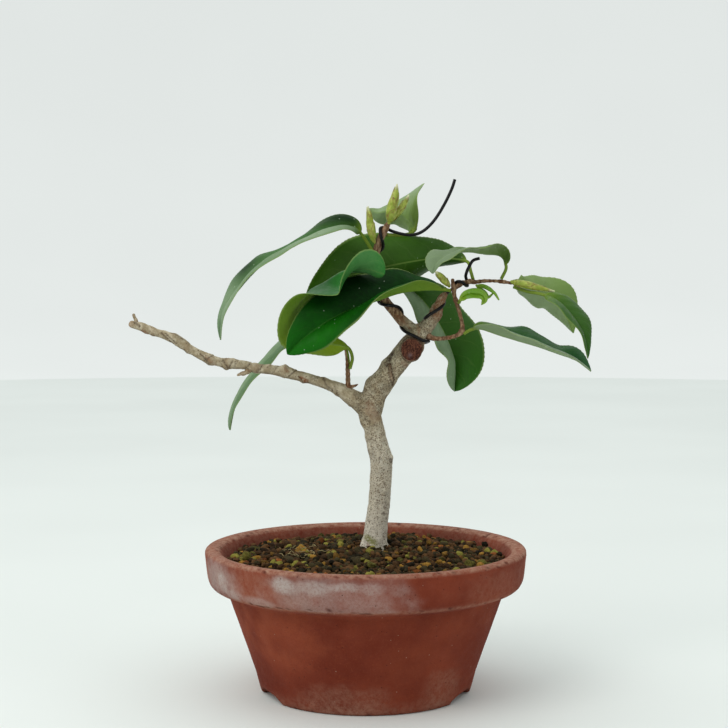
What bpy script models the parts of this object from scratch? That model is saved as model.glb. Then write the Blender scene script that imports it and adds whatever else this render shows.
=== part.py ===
"""Wabisuke camellia bonsai, newly wired and standing in its unglazed training pot.

Lengths in the tables are millimetres and are scaled to metres as they are used. +Z is up and
the plant is seen from -Y. The origin is the middle of the whole plant's footprint, on the
surface that the pot stands on, so the pot's own axis stands a few millimetres off it.
"""

import math

import bmesh
import bpy
from mathutils import Vector, noise

MM = 0.001
GAP = 0.3  # clear space between pieces that touch
ROOM = GAP + 0.25  # clear space round the wood, under the soil
END_ROOM = 0.6  # clear space past a root's tip
SMOOTH_ANGLE = 40  # degrees, edges sharper than this stay hard
FINE = 200  # points that a branch is divided into before a wire is wound round it
POT_AXIS = (2.75, 0.0)  # where the pot's axis stands, from the middle of the footprint

# Pot
RIM_R = 75.0
POT_H = 67.5
DRAIN_R = 12.5
FLOOR_TOP = 9.0
POT_STEPS = 48
POT_OUTSIDE = [
    (70.8, 67.5), (74.2, 67.5), (RIM_R, 66.3), (74.4, 60.0), (73.65, 53.9), (72.8, 51.6),
    (71.3, 50.0), (65.0, 47.6), (62.1, 40.0), (58.4, 30.0), (54.9, 20.0), (51.8, 10.0),
    (50.2, 1.2), (49.2, 0.0), (41.0, 0.0), (39.5, 3.5), (DRAIN_R, 3.5),
]
POT_INSIDE = [
    (DRAIN_R, FLOOR_TOP), (40.0, FLOOR_TOP), (45.0, 12.5), (48.8, 20.0), (56.0, 40.0),
    (60.5, 50.0), (65.2, 60.0), (66.6, 64.5), (68.4, 66.8),
]
NOTCH_TURNS = (-66.0, 66.0, 180.0)  # degrees round from the front
NOTCH_HALF_WIDTH = 12.0
NOTCH_HEIGHT = 4.2
NOTCH_LENGTH = 30.0
NOTCH_OUT = 48.0  # from the pot's axis to the middle of the arch's length

# Drainage mesh over the hole
NET_R = 19.0
NET_THICK = 1.2
NET_PITCH = 7.0
NET_HOLE = 4.6
NET_ROWS = (-1, 0, 1)

# Soil: a low mound, highest round the trunk
SOIL_FOOT = 11.0
SOIL_EDGE = 61.6
SOIL_CREST = 65.2
SOIL_AT = (3.0, 8.0)
SOIL_REACH = 62.0  # from the crest down to the edge
SOIL_TOP_R = 64.6
SOIL_SHOULDER = 2.0  # how far under the edge the side starts
SOIL_FOOT_IN = 1.0  # how far the foot stands in from the pot
SOIL_TURNS = 42
SOIL_RINGS = 22
SOIL_TOP_RINGS = 14  # rings of the top, out to the edge
SOIL_SIDE_RINGS = 18  # rings of the top and the side
GRAIN = 4.6
GRAIN_RISE = 1.3

# Leaves
BLADE = 0.7
ROWS = 20
COLS = 4
TOOTH = 0.3
TOOTHED = (0.06, 0.96)  # share of the blade's length that has teeth
STALK_R = 0.8
LEAST_WIDTH = 0.4
BULGE = 0.10  # how far each half bows, as a share of its width

# Wires
WIRE_R = 0.65
WIRE_PER_TURN = 10

# Wood: x, y, z and radius along each piece of the grown stem, from the pot's axis
TRUNK = [
    (3.5, 11.5, 42, 5.6), (3.5, 11.5, 47, 7.0), (3.8, 11, 55, 7.2), (4, 11, 61, 6.5),
    (4.2, 10.5, 66, 5.9), (5, 10, 76, 5.4), (6.5, 9.5, 88, 5.2), (7, 9, 98.5, 5.2),
    (7.5, 8.5, 106, 5.3), (6, 8, 112.5, 5.1), (4, 7, 121.5, 4.8), (2.2, 6.5, 127, 5.2),
    (1.8, 6, 131.5, 5.6),
]
LEADER = [
    (2.4, 6, 126.5, 4.6), (2.8, 6, 133.5, 5.6), (4.5, 5.5, 139, 5.6), (9.5, 5, 146.5, 5.4),
    (15, 4.5, 154, 5.2), (19.5, 4.5, 159.5, 5.4), (23, 4, 164, 4.9), (25, 4, 168, 4.0),
]
STUB = [
    (23.5, 4, 165.5, 4.2), (26, 4, 168, 3.8), (29.5, 3.5, 171.5, 3.4), (32, 3, 175.5, 3.0),
    (33.5, 2, 179.5, 2.9), (35, 1.5, 183, 2.2), (36.8, 1, 185, 1.5),
]
TOP_TWIG = [
    (24, 4, 167, 3.5), (21, 5, 169.5, 2.9), (17, 6, 173, 2.6), (13, 7, 177.5, 2.3),
    (9, 8, 182.5, 2.2), (6, 9.5, 189, 2.0), (4.8, 9.5, 196.5, 1.9), (4.8, 9, 204, 1.9),
    (6.5, 8, 210.5, 1.8), (9, 8, 215.5, 1.6), (10.3, 8, 217.8, 1.3),
]
LEFT_BRANCH = [
    (2, 6, 131, 4.9), (-2, 5.5, 134, 4.6), (-6.5, 5, 137, 4.0), (-11.5, 4.5, 140.5, 3.3),
    (-17.5, 3.5, 143, 2.6), (-24.5, 3, 145.5, 2.3), (-30.5, 2.5, 147, 2.4), (-37, 2, 149, 2.7),
    (-43.5, 1.5, 150, 2.2), (-51, 1, 151, 2.3), (-57, 0.5, 152.5, 2.1), (-62.5, 0, 153, 2.4),
    (-68.5, -0.5, 154, 2.1), (-74, -1, 156, 2.3), (-80, -1.5, 159, 2.0), (-86, -2, 163, 2.4),
    (-91.5, -2.5, 166, 2.1), (-98, -3, 168, 1.8), (-104, -3.5, 170.5, 2.1),
    (-109.5, -4, 172, 1.6),
]
LEFT_SPUR = [(-52.5, 0.8, 151, 1.6), (-56.5, 0, 148.6, 1.0), (-59.5, -0.5, 148, 0.6)]
TIP_SPUR = [(-106, -3.5, 171, 1.4), (-106.5, -3.5, 173.5, 0.9), (-107, -3.5, 175.2, 0.6)]
SHORT_TWIG = [
    (-7, 4.5, 138.5, 1.6), (-7.5, 4, 142, 1.3), (-7.5, 4, 146, 1.2), (-7.5, 3.5, 150, 1.2),
    (-7.5, 3.5, 152.5, 1.0),
]
CROSS_BIT = [(-10, 4, 141.4, 0.5), (-7.5, 4, 142, 0.8), (-4.5, 4.5, 143, 0.5)]
SIDE_TWIG = [
    (28, 3.5, 166.4, 2.0), (32, 3, 165, 1.2), (37.5, 2, 165, 1.0), (41, 1.5, 166, 0.9),
    (44.5, 1, 168, 1.1), (45, 1, 170, 0.9), (44, 1, 175.5, 0.8), (42.5, 1, 180.5, 1.0),
    (41.5, 1, 184, 0.9), (40.8, 1, 188, 1.2), (40.5, 1, 190, 1.0), (40.5, 1, 191.6, 0.8),
]
END_TWIG = [
    (40.5, 1, 188, 0.9), (42.5, 1.5, 189, 1.1), (44.5, 1.5, 190.5, 1.2), (47.5, 2, 191, 1.1),
    (50.5, 2, 191, 1.1), (55, 2, 191.5, 0.8), (60.5, 2, 191.5, 0.7), (64, 1.5, 191, 0.8),
    (67.5, 1.5, 190.5, 0.7),
]
SCAR_AT = (21.0, -0.4, 160.2)
SCAR_DISCS = [(4.8, 0.0, 5.0), (2.7, -0.45, 5.6)]  # radius, how far back it stands, depth
SCAR_BEVEL = 0.7
TRUNK_RINGS = 22
STOCK_RINGS = 14  # rings of the trunk that stand in the soil's hole
ROOTS = [  # main roots under the soil, out from the stock
    [(3.5, 11.5, 53, 3.4), (-7, 8, 50, 2.2), (-18, 4, 46, 1.0)],
    [(3.5, 11.5, 52, 3.2), (15, 6, 48, 2.0), (24, 0, 44, 0.9)],
    [(3.5, 11.5, 50, 3.2), (6, 22, 47, 2.0), (4, 31, 42, 0.9)],
]

# Buds: x, y, z and radius
BUDS = {
    "bud_top_pair": [
        [(10.8, 6.4, 218.6, 0.9), (11.2, 6, 220.5, 2.1), (12, 5.2, 225, 2.6),
         (13.4, 4.6, 230, 2.1), (14.5, 4.4, 236.3, 0.4)],
        [(11.2, 6.8, 219.2, 0.9), (13, 8, 221, 1.4), (16, 8.6, 224.8, 1.7),
         (18.4, 8.8, 228.5, 1.3), (20, 9, 231.5, 0.4)],
    ],
    "bud_top_side": [
        [(4.2, 6.0, 209.4, 0.7), (3.5, 5.7, 211.5, 1.5), (2.4, 5.2, 216, 2.1),
         (1.6, 4.7, 221.5, 1.4), (1, 4.4, 226, 0.4)],
    ],
    "bud_node": [
        [(38.7, -0.2, 189.0, 0.7), (37.4, -1.4, 190.6, 1.4), (35.5, -3, 192.6, 1.7),
         (33.6, -3.8, 194.4, 1.3), (32, -4.5, 195.8, 0.4)],
    ],
    "bud_end": [
        [(67.6, -0.6, 191.2, 0.9), (69, -1.8, 190.6, 1.6), (72, -2.4, 190, 1.8),
         (75.5, -3, 189, 1.4), (79, -3.6, 188, 0.4)],
    ],
}

# Each leaf: half widths of its two sides, how blunt it is at the base and at the tip, the share
# of its length that is stalk, and stations along the midrib. A station is x, y, z and how far
# each half is turned out of the plane seen from the front, in degrees, + towards the viewer.
LEAVES = {
    "leaf_left_long": (13.2, 12.6, 0.59, 0.92, 0.16, [
        (3.0, 6.6, 205.6, -19, 22), (-2, 4.5, 213.5, -18, 16), (-4.5, 2, 219, -25, 20),
        (-10.5, 0, 219.5, -62, 35), (-19, -3, 216.5, -77, 68), (-30.5, -6, 210.5, -80, 80),
        (-47, -9, 199.5, -70, 84), (-57, -10, 189, -53, 86), (-65, -9, 177.5, -62, 79),
        (-67, -7, 164.5, -15, 72)]),
    "leaf_back": (17.8, 15.6, 0.8, 0.74, 0.12, [
        (50, 3.1, 192, -18, -33), (49, 6, 196, -23, -45), (47.5, 9, 200.5, -30, -61),
        (38, 13, 202, -38, -66), (28, 16, 201.5, -37, -61), (9, 18, 198, -23, -37),
        (-7.5, 19, 193.5, 19, -27), (-20.5, 19, 186.5, 42, -11), (-30, 18, 179.5, 60, 3)]),
    "leaf_front": (16.3, 16.3, 0.65, 0.74, 0.05, [
        (39.2, -0.6, 187, -25, 104), (37, -1.5, 187.5, -30, 112), (27.5, -3, 187.5, -46, 116),
        (16, -5, 186, -32, 107), (5.5, -7, 182.5, -30, 95), (-8.5, -8.5, 177.5, -25, 71),
        (-20, -10, 171.5, -8, 44), (-29.5, -10.5, 164.5, 3, 23), (-36, -10, 158, 11, 10)]),
    "leaf_wavy": (10.0, 19.2, 0.55, 0.6, 0.17, [
        (-7.2, 1.4, 152.6, -18, -11), (-6.5, 0.5, 156, -19, -12), (-10.5, 0.5, 158, -21, -16),
        (-20.5, 1, 163, -25, -34), (-28, 1.5, 172, -32, 25), (-30.5, 1, 180, -41, 64),
        (-26.5, -0.5, 187, -53, 87), (-19, -2.5, 191.5, -67, 103), (-11.5, -4.5, 196, -80, 118),
        (-5.5, -6.5, 197.5, -76, 83), (2, -8.5, 197, -60, 30), (8.5, -10, 194.5, -20, -7)]),
    "leaf_top": (18.8, 13.3, 0.61, 1.0, 0.42, [
        (9.8, 9.3, 213, -36, -10), (15, 13, 213, 0, -13), (20.5, 17, 213.6, 35, -19),
        (23.5, 20, 216, 61, -34), (21, 23.5, 220, 49, -71), (17, 27, 223.5, -14, -66),
        (11.5, 29.5, 225, -71, -56), (5.5, 31.5, 224, -73, -32), (0.5, 33, 226, -46, -65)]),
    "leaf_left_thin": (11.9, 11.6, 0.77, 0.8, 0.16, [
        (-7.8, 5.6, 152, -57, 56), (-13, 11, 158, -62, 61), (-24, 17, 164, -68, 67),
        (-36.5, 22, 162.5, -76, 75), (-46, 26, 154.5, -82, 80), (-55.5, 28, 144, -82, 80),
        (-62.5, 28, 132.5, -80, 84), (-65.5, 26, 119.5, -40, 90)]),
    "leaf_hanging": (16.8, 17.7, 0.85, 0.73, 0.1, [
        (7.8, 9.4, 193.5, 9, 40), (13.5, 12, 190.8, 31, 60), (20.5, 15.5, 188, 43, 45),
        (27.5, 20, 181.5, 50, -5), (34.5, 24, 171.5, 64, -30), (39.5, 25.5, 161.5, 71, -18),
        (42.5, 25, 151, 66, 2), (42.5, 22, 138.5, 43, 30)]),
    "leaf_right_low": (11.5, 12.5, 0.61, 0.86, 0.08, [
        (45.6, 0.4, 167, 97, -5), (49, -1, 169, 103, -19), (53.5, -3, 169.5, 107, -59),
        (61, -5, 167, 110, -64), (70.5, -7, 164, 104, -58), (79, -8, 161.5, 98, -60),
        (89, -8, 158, 96, -69), (97, -7, 155, 87, -26), (104, -6, 150, 85, -30)]),
    "leaf_arched": (11.7, 11.0, 0.61, 0.63, 0.14, [
        (62.8, 0.6, 192.4, 18, 88), (65, 0, 198, -3, 115), (62, -3, 203, -30, 133),
        (55, -8, 203.5, -78, 124), (46.5, -14, 204.5, -80, 103), (39, -19, 203.5, -72, 91),
        (32.5, -22, 200, -32, 75), (30, -24, 195, -9, 69)]),
    "leaf_right_back": (10.7, 11.7, 0.69, 0.98, 0.08, [
        (68, 3, 190.8, -16, -6), (71, 6, 191.6, -33, -36), (77, 14, 189, -52, -60),
        (85.5, 22, 186, -47, -60), (94, 29, 181, -33, -34), (101, 36, 166, -52, -22)]),
    "leaf_right_front": (9.5, 9.4, 0.7, 0.96, 0.3, [
        (68.6, 1, 188.8, 25, -24), (75, -1.5, 186.6, 39, -28), (80.5, -5, 185.6, 54, -34),
        (87, -9, 183, 70, -51), (93, -13, 177, 70, -46), (98, -16, 168.5, 76, -44),
        (101, -17, 156.5, 80, -46)]),
    "leaf_young_curled": (2.7, 2.7, 0.6, 0.7, 0.1, [
        (43.2, -0.2, 181.4, 0, 0), (44, -1.5, 183, 20, 20), (46.5, -2.5, 185, 50, 30),
        (50, -3.5, 185.5, 60, 20), (53, -4, 185, 60, 20), (54.5, -4, 183, 50, 20),
        (53.4, -4, 180.5, 50, 20)]),
}
YOUNG_PAIR = [  # two narrow leaves still rolled, under the end twig
    [(51.8, 1.0, 189.4, 0.5), (54, 0, 189.2, 0.9), (56.8, -1, 188, 0.9), (59.6, -1.5, 186, 0.7),
     (61.5, -2, 183, 0.4)],
    [(51.4, 1.2, 189.5, 0.5), (53, 1.6, 188, 0.9), (55.5, 1.8, 186, 0.9), (57, 1.5, 184, 0.7),
     (59, 1, 185.6, 0.4)],
]

# Wires: what leads into each wound stretch, and the free ends
TOP_WIRE_START = [
    (22.5, 10.9, 160.3), (26.5, 9.3, 161), (29.4, 6.2, 162), (29.9, 2.6, 162.8),
    (27, -0.9, 164.2), (23, -2.1, 165.8), (19.5, -0.6, 167), (17, 2.4, 167.4), (16.1, 6, 168),
    (16.8, 8.8, 169.6),
]
TOP_WIRE_END = [
    (8.6, 11.0, 218.2), (11.4, 10.8, 218), (13.2, 9.2, 216.6), (15, 8.4, 214.6),
    (18, 8.8, 213.3), (21.5, 9.5, 213), (24.5, 10, 214), (28.5, 10.5, 216), (33, 11, 221),
    (37, 11, 227), (40, 11.5, 234), (41.5, 12, 239),
]
SIDE_WIRE_LINK = [(37, 4.8, 185), (39.5, 4.3, 187.2)]
SIDE_WIRE_END = [
    (47.3, 3.4, 189.6), (47.2, 4.1, 191), (46.7, 3.3, 192.8), (46.4, 1.5, 194),
    (47, 0, 196.3), (48, -1, 198.5), (49.5, -2, 201), (52.5, -3, 202),
]

COLOURS = {  # base colour, roughness
    "terracotta": ((0.40, 0.14, 0.08), 0.85),
    "net": ((0.03, 0.03, 0.03), 0.6),
    "akadama": ((0.10, 0.06, 0.03), 0.95),
    "bark": ((0.36, 0.31, 0.24), 0.9),
    "leaf": ((0.04, 0.16, 0.03), 0.35),
    "young_leaf": ((0.14, 0.32, 0.04), 0.4),
    "bud": ((0.30, 0.36, 0.06), 0.5),
    "wire": ((0.02, 0.02, 0.02), 0.45),
}


def clear_scene() -> None:
    """Remove whatever the open file holds."""
    for obj in list(bpy.data.objects):
        bpy.data.objects.remove(obj, do_unlink=True)


def material(name: str) -> bpy.types.Material:
    """Give a new Principled material in the named colour."""
    colour, rough = COLOURS[name]
    mat = bpy.data.materials.new(name)
    mat.use_nodes = True
    bsdf = mat.node_tree.nodes["Principled BSDF"]
    bsdf.inputs["Base Color"].default_value = (*colour, 1.0)
    bsdf.inputs["Roughness"].default_value = rough
    bsdf.inputs["Metallic"].default_value = 1.0 if name == "wire" else 0.0
    return mat


def collection(name: str) -> bpy.types.Collection:
    """Make a collection in the scene."""
    coll = bpy.data.collections.new(name)
    bpy.context.scene.collection.children.link(coll)
    return coll


def to_object(bm: bmesh.types.BMesh, name: str, coll: bpy.types.Collection) -> bpy.types.Object:
    """Turn a bmesh into a linked object and free it."""
    mesh = bpy.data.meshes.new(name)
    bm.to_mesh(mesh)
    bm.free()
    obj = bpy.data.objects.new(name, mesh)
    coll.objects.link(obj)
    return obj


def apply_modifiers(obj: bpy.types.Object) -> None:
    """Bake an object's modifiers into its mesh."""
    graph = bpy.context.evaluated_depsgraph_get()
    mesh = bpy.data.meshes.new_from_object(obj.evaluated_get(graph))
    obj.modifiers.clear()
    obj.data = mesh


def finish(obj: bpy.types.Object, mat: bpy.types.Material, root: bpy.types.Object) -> None:
    """Shade, colour and parent a finished piece."""
    obj.data.materials.clear()
    obj.data.materials.append(mat)
    obj.data.shade_smooth()
    obj.data.set_sharp_from_angle(angle=math.radians(SMOOTH_ANGLE))
    obj.parent = root


def through(points: list, samples: int) -> list:
    """Points on a smooth line through the given ones, every column interpolated alike."""
    count = len(points)
    along = [0.0]
    for a, b in zip(points, points[1:]):
        along.append(along[-1] + math.dist(a[:3], b[:3]))
    along = [s / along[-1] for s in along]
    slope = []
    for i in range(count):
        a, b = max(i - 1, 0), min(i + 1, count - 1)
        span = along[b] - along[a]
        slope.append([(q - p) / span for p, q in zip(points[a], points[b])])
    line = []
    for k in range(samples):
        s = k / (samples - 1)
        i = 0
        while i < count - 2 and s > along[i + 1]:
            i += 1
        h = along[i + 1] - along[i]
        u = (s - along[i]) / h
        c0, c1 = 2 * u**3 - 3 * u**2 + 1, (u**3 - 2 * u**2 + u) * h
        c2, c3 = -2 * u**3 + 3 * u**2, (u**3 - u**2) * h
        line.append(tuple(
            c0 * p + c1 * m + c2 * q + c3 * n
            for p, m, q, n in zip(points[i], slope[i], points[i + 1], slope[i + 1])
        ))
    return line


def tube(name: str, line: list, coll: bpy.types.Collection, sides: int = 8) -> bpy.types.Object:
    """A closed round rod along x, y, z, radius rows, swept by a bevelled curve."""
    curve = bpy.data.curves.new(name, "CURVE")
    curve.dimensions = "3D"
    curve.bevel_depth = MM
    curve.bevel_resolution = max(0, (sides - 4) // 2)
    curve.use_fill_caps = True
    spline = curve.splines.new("POLY")
    spline.points.add(len(line) - 1)
    for point, (x, y, z, radius) in zip(spline.points, line):
        point.co = (x * MM, y * MM, z * MM, 1.0)
        point.radius = radius
    rod = bpy.data.objects.new(name, curve)
    coll.objects.link(rod)
    graph = bpy.context.evaluated_depsgraph_get()
    mesh = bpy.data.meshes.new_from_object(rod.evaluated_get(graph))
    bpy.data.objects.remove(rod, do_unlink=True)
    bm = bmesh.new()
    bm.from_mesh(mesh)
    bmesh.ops.remove_doubles(bm, verts=bm.verts, dist=0.02 * MM)
    bmesh.ops.recalc_face_normals(bm, faces=bm.faces)
    return to_object(bm, name, coll)


def join(name: str, pieces: list) -> bpy.types.Object:
    """Fuse overlapping closed pieces into one body."""
    if len(pieces) == 1:
        pieces[0].name = name
        return pieces[0]
    group = bpy.data.collections.new(name + "_pieces")
    bpy.context.scene.collection.children.link(group)
    for piece in pieces[1:]:
        group.objects.link(piece)
    union = pieces[0].modifiers.new("union", "BOOLEAN")
    union.operation = "UNION"
    union.operand_type = "COLLECTION"
    union.collection = group
    apply_modifiers(pieces[0])
    for piece in pieces[1:]:
        bpy.data.objects.remove(piece, do_unlink=True)
    bpy.data.collections.remove(group)
    pieces[0].name = name
    bm = bmesh.new()
    bm.from_mesh(pieces[0].data)
    bmesh.ops.dissolve_degenerate(bm, dist=0.01 * MM, edges=bm.edges)
    bm.to_mesh(pieces[0].data)
    bm.free()
    return pieces[0]


def cut(obj: bpy.types.Object, cutter: bpy.types.Object) -> None:
    """Take a cutter out of an object and bake the result."""
    hole = obj.modifiers.new("cut", "BOOLEAN")
    hole.operation = "DIFFERENCE"
    hole.object = cutter
    apply_modifiers(obj)
    bpy.data.objects.remove(cutter, do_unlink=True)


def make_pot(coll: bpy.types.Collection, cutters: bpy.types.Collection) -> bpy.types.Object:
    """Turn the pot's section and cut the three arches in its foot."""
    section = POT_OUTSIDE + POT_INSIDE
    bm = bmesh.new()
    corners = [bm.verts.new((r * MM, 0.0, z * MM)) for r, z in section]
    for a, b in zip(corners, corners[1:] + corners[:1]):
        bm.edges.new((a, b))
    pot = to_object(bm, "pot", coll)
    screw = pot.modifiers.new("turn", "SCREW")
    screw.steps = screw.render_steps = POT_STEPS
    screw.use_merge_vertices = True
    screw.merge_threshold = 0.0001
    apply_modifiers(pot)
    bm = bmesh.new()
    bm.from_mesh(pot.data)
    bmesh.ops.recalc_face_normals(bm, faces=bm.faces)
    bm.to_mesh(pot.data)
    bm.free()
    for turn in NOTCH_TURNS:
        bm = bmesh.new()
        bmesh.ops.create_cone(bm, cap_ends=True, segments=16, radius1=1.0, radius2=1.0, depth=1.0)
        arch = to_object(bm, "arch", cutters)
        for vert in arch.data.vertices:
            x, y, z = vert.co
            vert.co = (x * NOTCH_HALF_WIDTH * MM, (-z * NOTCH_LENGTH - NOTCH_OUT) * MM,
                       y * NOTCH_HEIGHT * MM)
        arch.rotation_euler.z = math.radians(turn)
        bpy.context.view_layer.update()
        cut(pot, arch)
    return pot


def make_net(coll: bpy.types.Collection, cutters: bpy.types.Collection) -> bpy.types.Object:
    """The plastic drainage mesh that lies over the drain hole."""
    middle = FLOOR_TOP + GAP + NET_THICK / 2
    bm = bmesh.new()
    bmesh.ops.create_cone(bm, cap_ends=True, segments=24, radius1=NET_R * MM,
                          radius2=NET_R * MM, depth=NET_THICK * MM)
    net = to_object(bm, "drain_net", coll)
    for vert in net.data.vertices:
        vert.co.z += middle * MM
    for i in NET_ROWS:
        for j in NET_ROWS:
            bm = bmesh.new()
            bmesh.ops.create_cube(bm, size=NET_HOLE * MM)
            window = to_object(bm, "window", cutters)
            window.location = (i * NET_PITCH * MM, j * NET_PITCH * MM, middle * MM)
            bpy.context.view_layer.update()
            cut(net, window)
    return net


def inner_radius(z: float) -> float:
    """The pot's inner radius at a height."""
    for (r0, z0), (r1, z1) in zip(POT_INSIDE[1:], POT_INSIDE[2:]):
        if z <= z1:
            return r0 + (r1 - r0) * max(0.0, z - z0) / max(z1 - z0, 1e-6)
    return POT_INSIDE[-1][0]


def soil_height(x: float, y: float) -> float:
    """Height of the soil's grainy top, in millimetres."""
    reach = min(1.0, math.hypot(x - SOIL_AT[0], y - SOIL_AT[1]) / SOIL_REACH)
    mound = SOIL_EDGE + (SOIL_CREST - SOIL_EDGE) * math.cos(reach * math.pi / 2) ** 1.5
    at = Vector((x / GRAIN, y / GRAIN, 3.7))
    lump = noise.noise(at) + 0.5 * noise.noise(at * 2.1)
    return mound + GRAIN_RISE * lump


def make_soil(coll: bpy.types.Collection) -> bpy.types.Object:
    """A ball drawn out to fill the pot: its upper rings become the grainy top."""
    rings, top, side = SOIL_RINGS, SOIL_TOP_RINGS, SOIL_SIDE_RINGS
    shoulder = SOIL_EDGE - SOIL_SHOULDER
    bm = bmesh.new()
    bmesh.ops.create_uvsphere(bm, u_segments=SOIL_TURNS, v_segments=rings, radius=1.0)
    for vert in bm.verts:
        x, y, z = vert.co
        ring = rings * math.acos(max(-1.0, min(1.0, z))) / math.pi
        turn = math.atan2(y, x)
        if ring <= top:
            r = SOIL_TOP_R * (ring / top) ** 0.9
            x, y = r * math.cos(turn), r * math.sin(turn)
            z = soil_height(x, y)
        elif ring <= side:
            down = (ring - top) / (side - top)
            z = shoulder + (SOIL_FOOT - shoulder) * down
            r = inner_radius(z) - 2.0 * GAP
            x, y = r * math.cos(turn), r * math.sin(turn)
        else:
            r = (inner_radius(SOIL_FOOT) - SOIL_FOOT_IN) * (rings - ring) / (rings - side)
            x, y, z = r * math.cos(turn), r * math.sin(turn), SOIL_FOOT
        vert.co = (x * MM, y * MM, z * MM)
    bmesh.ops.triangulate(bm, faces=bm.faces)
    return to_object(bm, "soil", coll)


def make_hole(cutters: bpy.types.Collection) -> bpy.types.Object:
    """The room that the stock and the main roots take up in the soil."""
    stock = [(x, y, z, r + ROOM) for x, y, z, r in through(TRUNK, TRUNK_RINGS)][:STOCK_RINGS]
    stock[0] = (*stock[0][:2], stock[0][2] - END_ROOM, stock[0][3])
    hole = [tube("stock_hole", stock, cutters, 12)]
    for line in ROOTS:
        far = Vector(line[-1][:3])
        far += (far - Vector(line[-2][:3])).normalized() * END_ROOM
        room = [(x, y, z, r + ROOM) for x, y, z, r in line[:-1]]
        hole.append(tube("root_hole", room + [(*far, line[-1][3] + ROOM)], cutters, 6))
    return join("holes", hole)


def make_wood(coll: bpy.types.Collection) -> bpy.types.Object:
    """Trunk, branches and twigs, grown as one piece."""
    pieces = [
        tube("trunk", through(TRUNK, TRUNK_RINGS), coll, 12),
        tube("leader", through(LEADER, 11), coll, 12),
        tube("stub", through(STUB, 8), coll, 8),
        tube("top_twig", through(TOP_TWIG, 16), coll, 8),
        tube("left_branch", through(LEFT_BRANCH, 28), coll, 8),
        tube("left_spur", LEFT_SPUR, coll, 6),
        tube("tip_spur", TIP_SPUR, coll, 6),
        tube("short_twig", SHORT_TWIG, coll, 6),
        tube("cross_bit", CROSS_BIT, coll, 6),
        tube("side_twig", through(SIDE_TWIG, 15), coll, 6),
        tube("end_twig", through(END_TWIG, 10), coll, 6),
    ]
    pieces += [tube("root", line, coll, 6) for line in ROOTS]
    pieces += make_scar(coll)
    return join("tree_wood", pieces)


def make_scar(coll: bpy.types.Collection) -> list:
    """The pruning scar on the front of the leader: a callus ring round the old cut."""
    face = []
    for radius, back, depth in SCAR_DISCS:
        bm = bmesh.new()
        bmesh.ops.create_cone(bm, cap_ends=True, segments=16, radius1=radius * MM,
                              radius2=(radius - SCAR_BEVEL) * MM, depth=depth * MM)
        disc = to_object(bm, "scar", coll)
        for vert in disc.data.vertices:
            x, y, z = vert.co
            vert.co = (SCAR_AT[0] * MM + x, (SCAR_AT[1] + back + depth / 2) * MM - z,
                       SCAR_AT[2] * MM + y)
        face.append(disc)
    return face


def blade_width(t: float, base: float, tip: float) -> float:
    """Half width of a leaf at a share of its length, as a share of its widest."""
    if t <= 0.0 or t >= 1.0:
        return 0.0
    peak = (base / (base + tip)) ** base * (tip / (base + tip)) ** tip
    return t**base * (1.0 - t) ** tip / peak


def make_leaf(name: str, spec: tuple, coll: bpy.types.Collection) -> bpy.types.Object:
    """A leaf with its stalk: a grid bent along the midrib, toothed, and given its thickness."""
    wide_a, wide_b, base, tip, stalk, stations = spec
    line = through(stations, ROWS + 1)
    spots = [Vector(row[:3]) for row in line]
    bm = bmesh.new()
    bmesh.ops.create_grid(bm, x_segments=COLS, y_segments=ROWS, size=1.0)
    for vert in bm.verts:
        row = round((vert.co.y + 1.0) / 2.0 * ROWS)
        side = vert.co.x
        u = row / ROWS
        t = (u - stalk) / (1.0 - stalk)
        run = spots[min(row + 1, ROWS)] - spots[max(row - 1, 0)]
        run.normalize()
        front = Vector((0.0, -1.0, 0.0))
        out = (front - run * run.dot(front)).normalized()
        across = run.cross(out)
        turn = math.radians(line[row][3] if side >= 0 else line[row][4])
        wide = (wide_a if side >= 0 else wide_b) * blade_width(t, base, tip)
        if TOOTHED[0] < t < TOOTHED[1]:
            wide += TOOTH if row % 2 else -TOOTH
        wide = max(wide, STALK_R * (1.0 - max(t, 0.0)), LEAST_WIDTH)
        way = across * math.cos(turn) if side >= 0 else across * -math.cos(turn)
        way += out * math.sin(turn)
        lift = way.cross(run) if side >= 0 else run.cross(way)
        bulge = BULGE * wide * math.sin(math.pi * abs(side)) if t > 0 else 0.0
        vert.co = (spots[row] + way * wide * abs(side) + lift * bulge) * MM
    bmesh.ops.triangulate(bm, faces=bm.faces, quad_method="FIXED")
    bmesh.ops.recalc_face_normals(bm, faces=bm.faces)
    leaf = to_object(bm, name, coll)
    shell = leaf.modifiers.new("thickness", "SOLIDIFY")
    shell.thickness = BLADE * MM
    shell.offset = 0.0
    apply_modifiers(leaf)
    return leaf


def wrap(line: list, first: float, last: float, turns: float, start: float, hug: float) -> list:
    """Points of a wire wound round a tapering branch, at a steady pitch."""
    count = max(4, int(abs(turns) * WIRE_PER_TURN))
    fine = through(line, FINE)
    coil = []
    for k in range(count + 1):
        share = k / count
        at = first + (last - first) * share
        i = min(FINE - 2, max(1, round(at * (FINE - 1))))
        run = (Vector(fine[i + 1][:3]) - Vector(fine[i - 1][:3])).normalized()
        out = (Vector((0.0, -1.0, 0.0)) + run * run.y).normalized()
        across = run.cross(out)
        turn = start + 2.0 * math.pi * turns * share
        reach = (fine[i][3] + WIRE_R + hug) / math.cos(math.pi / WIRE_PER_TURN)
        spot = Vector(fine[i][:3]) + (out * math.cos(turn) + across * math.sin(turn)) * reach
        coil.append((*spot, WIRE_R))
    return coil


def plain(line: list) -> list:
    """The same points with the wire's radius."""
    return [(x, y, z, WIRE_R) for x, y, z in line]


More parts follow.
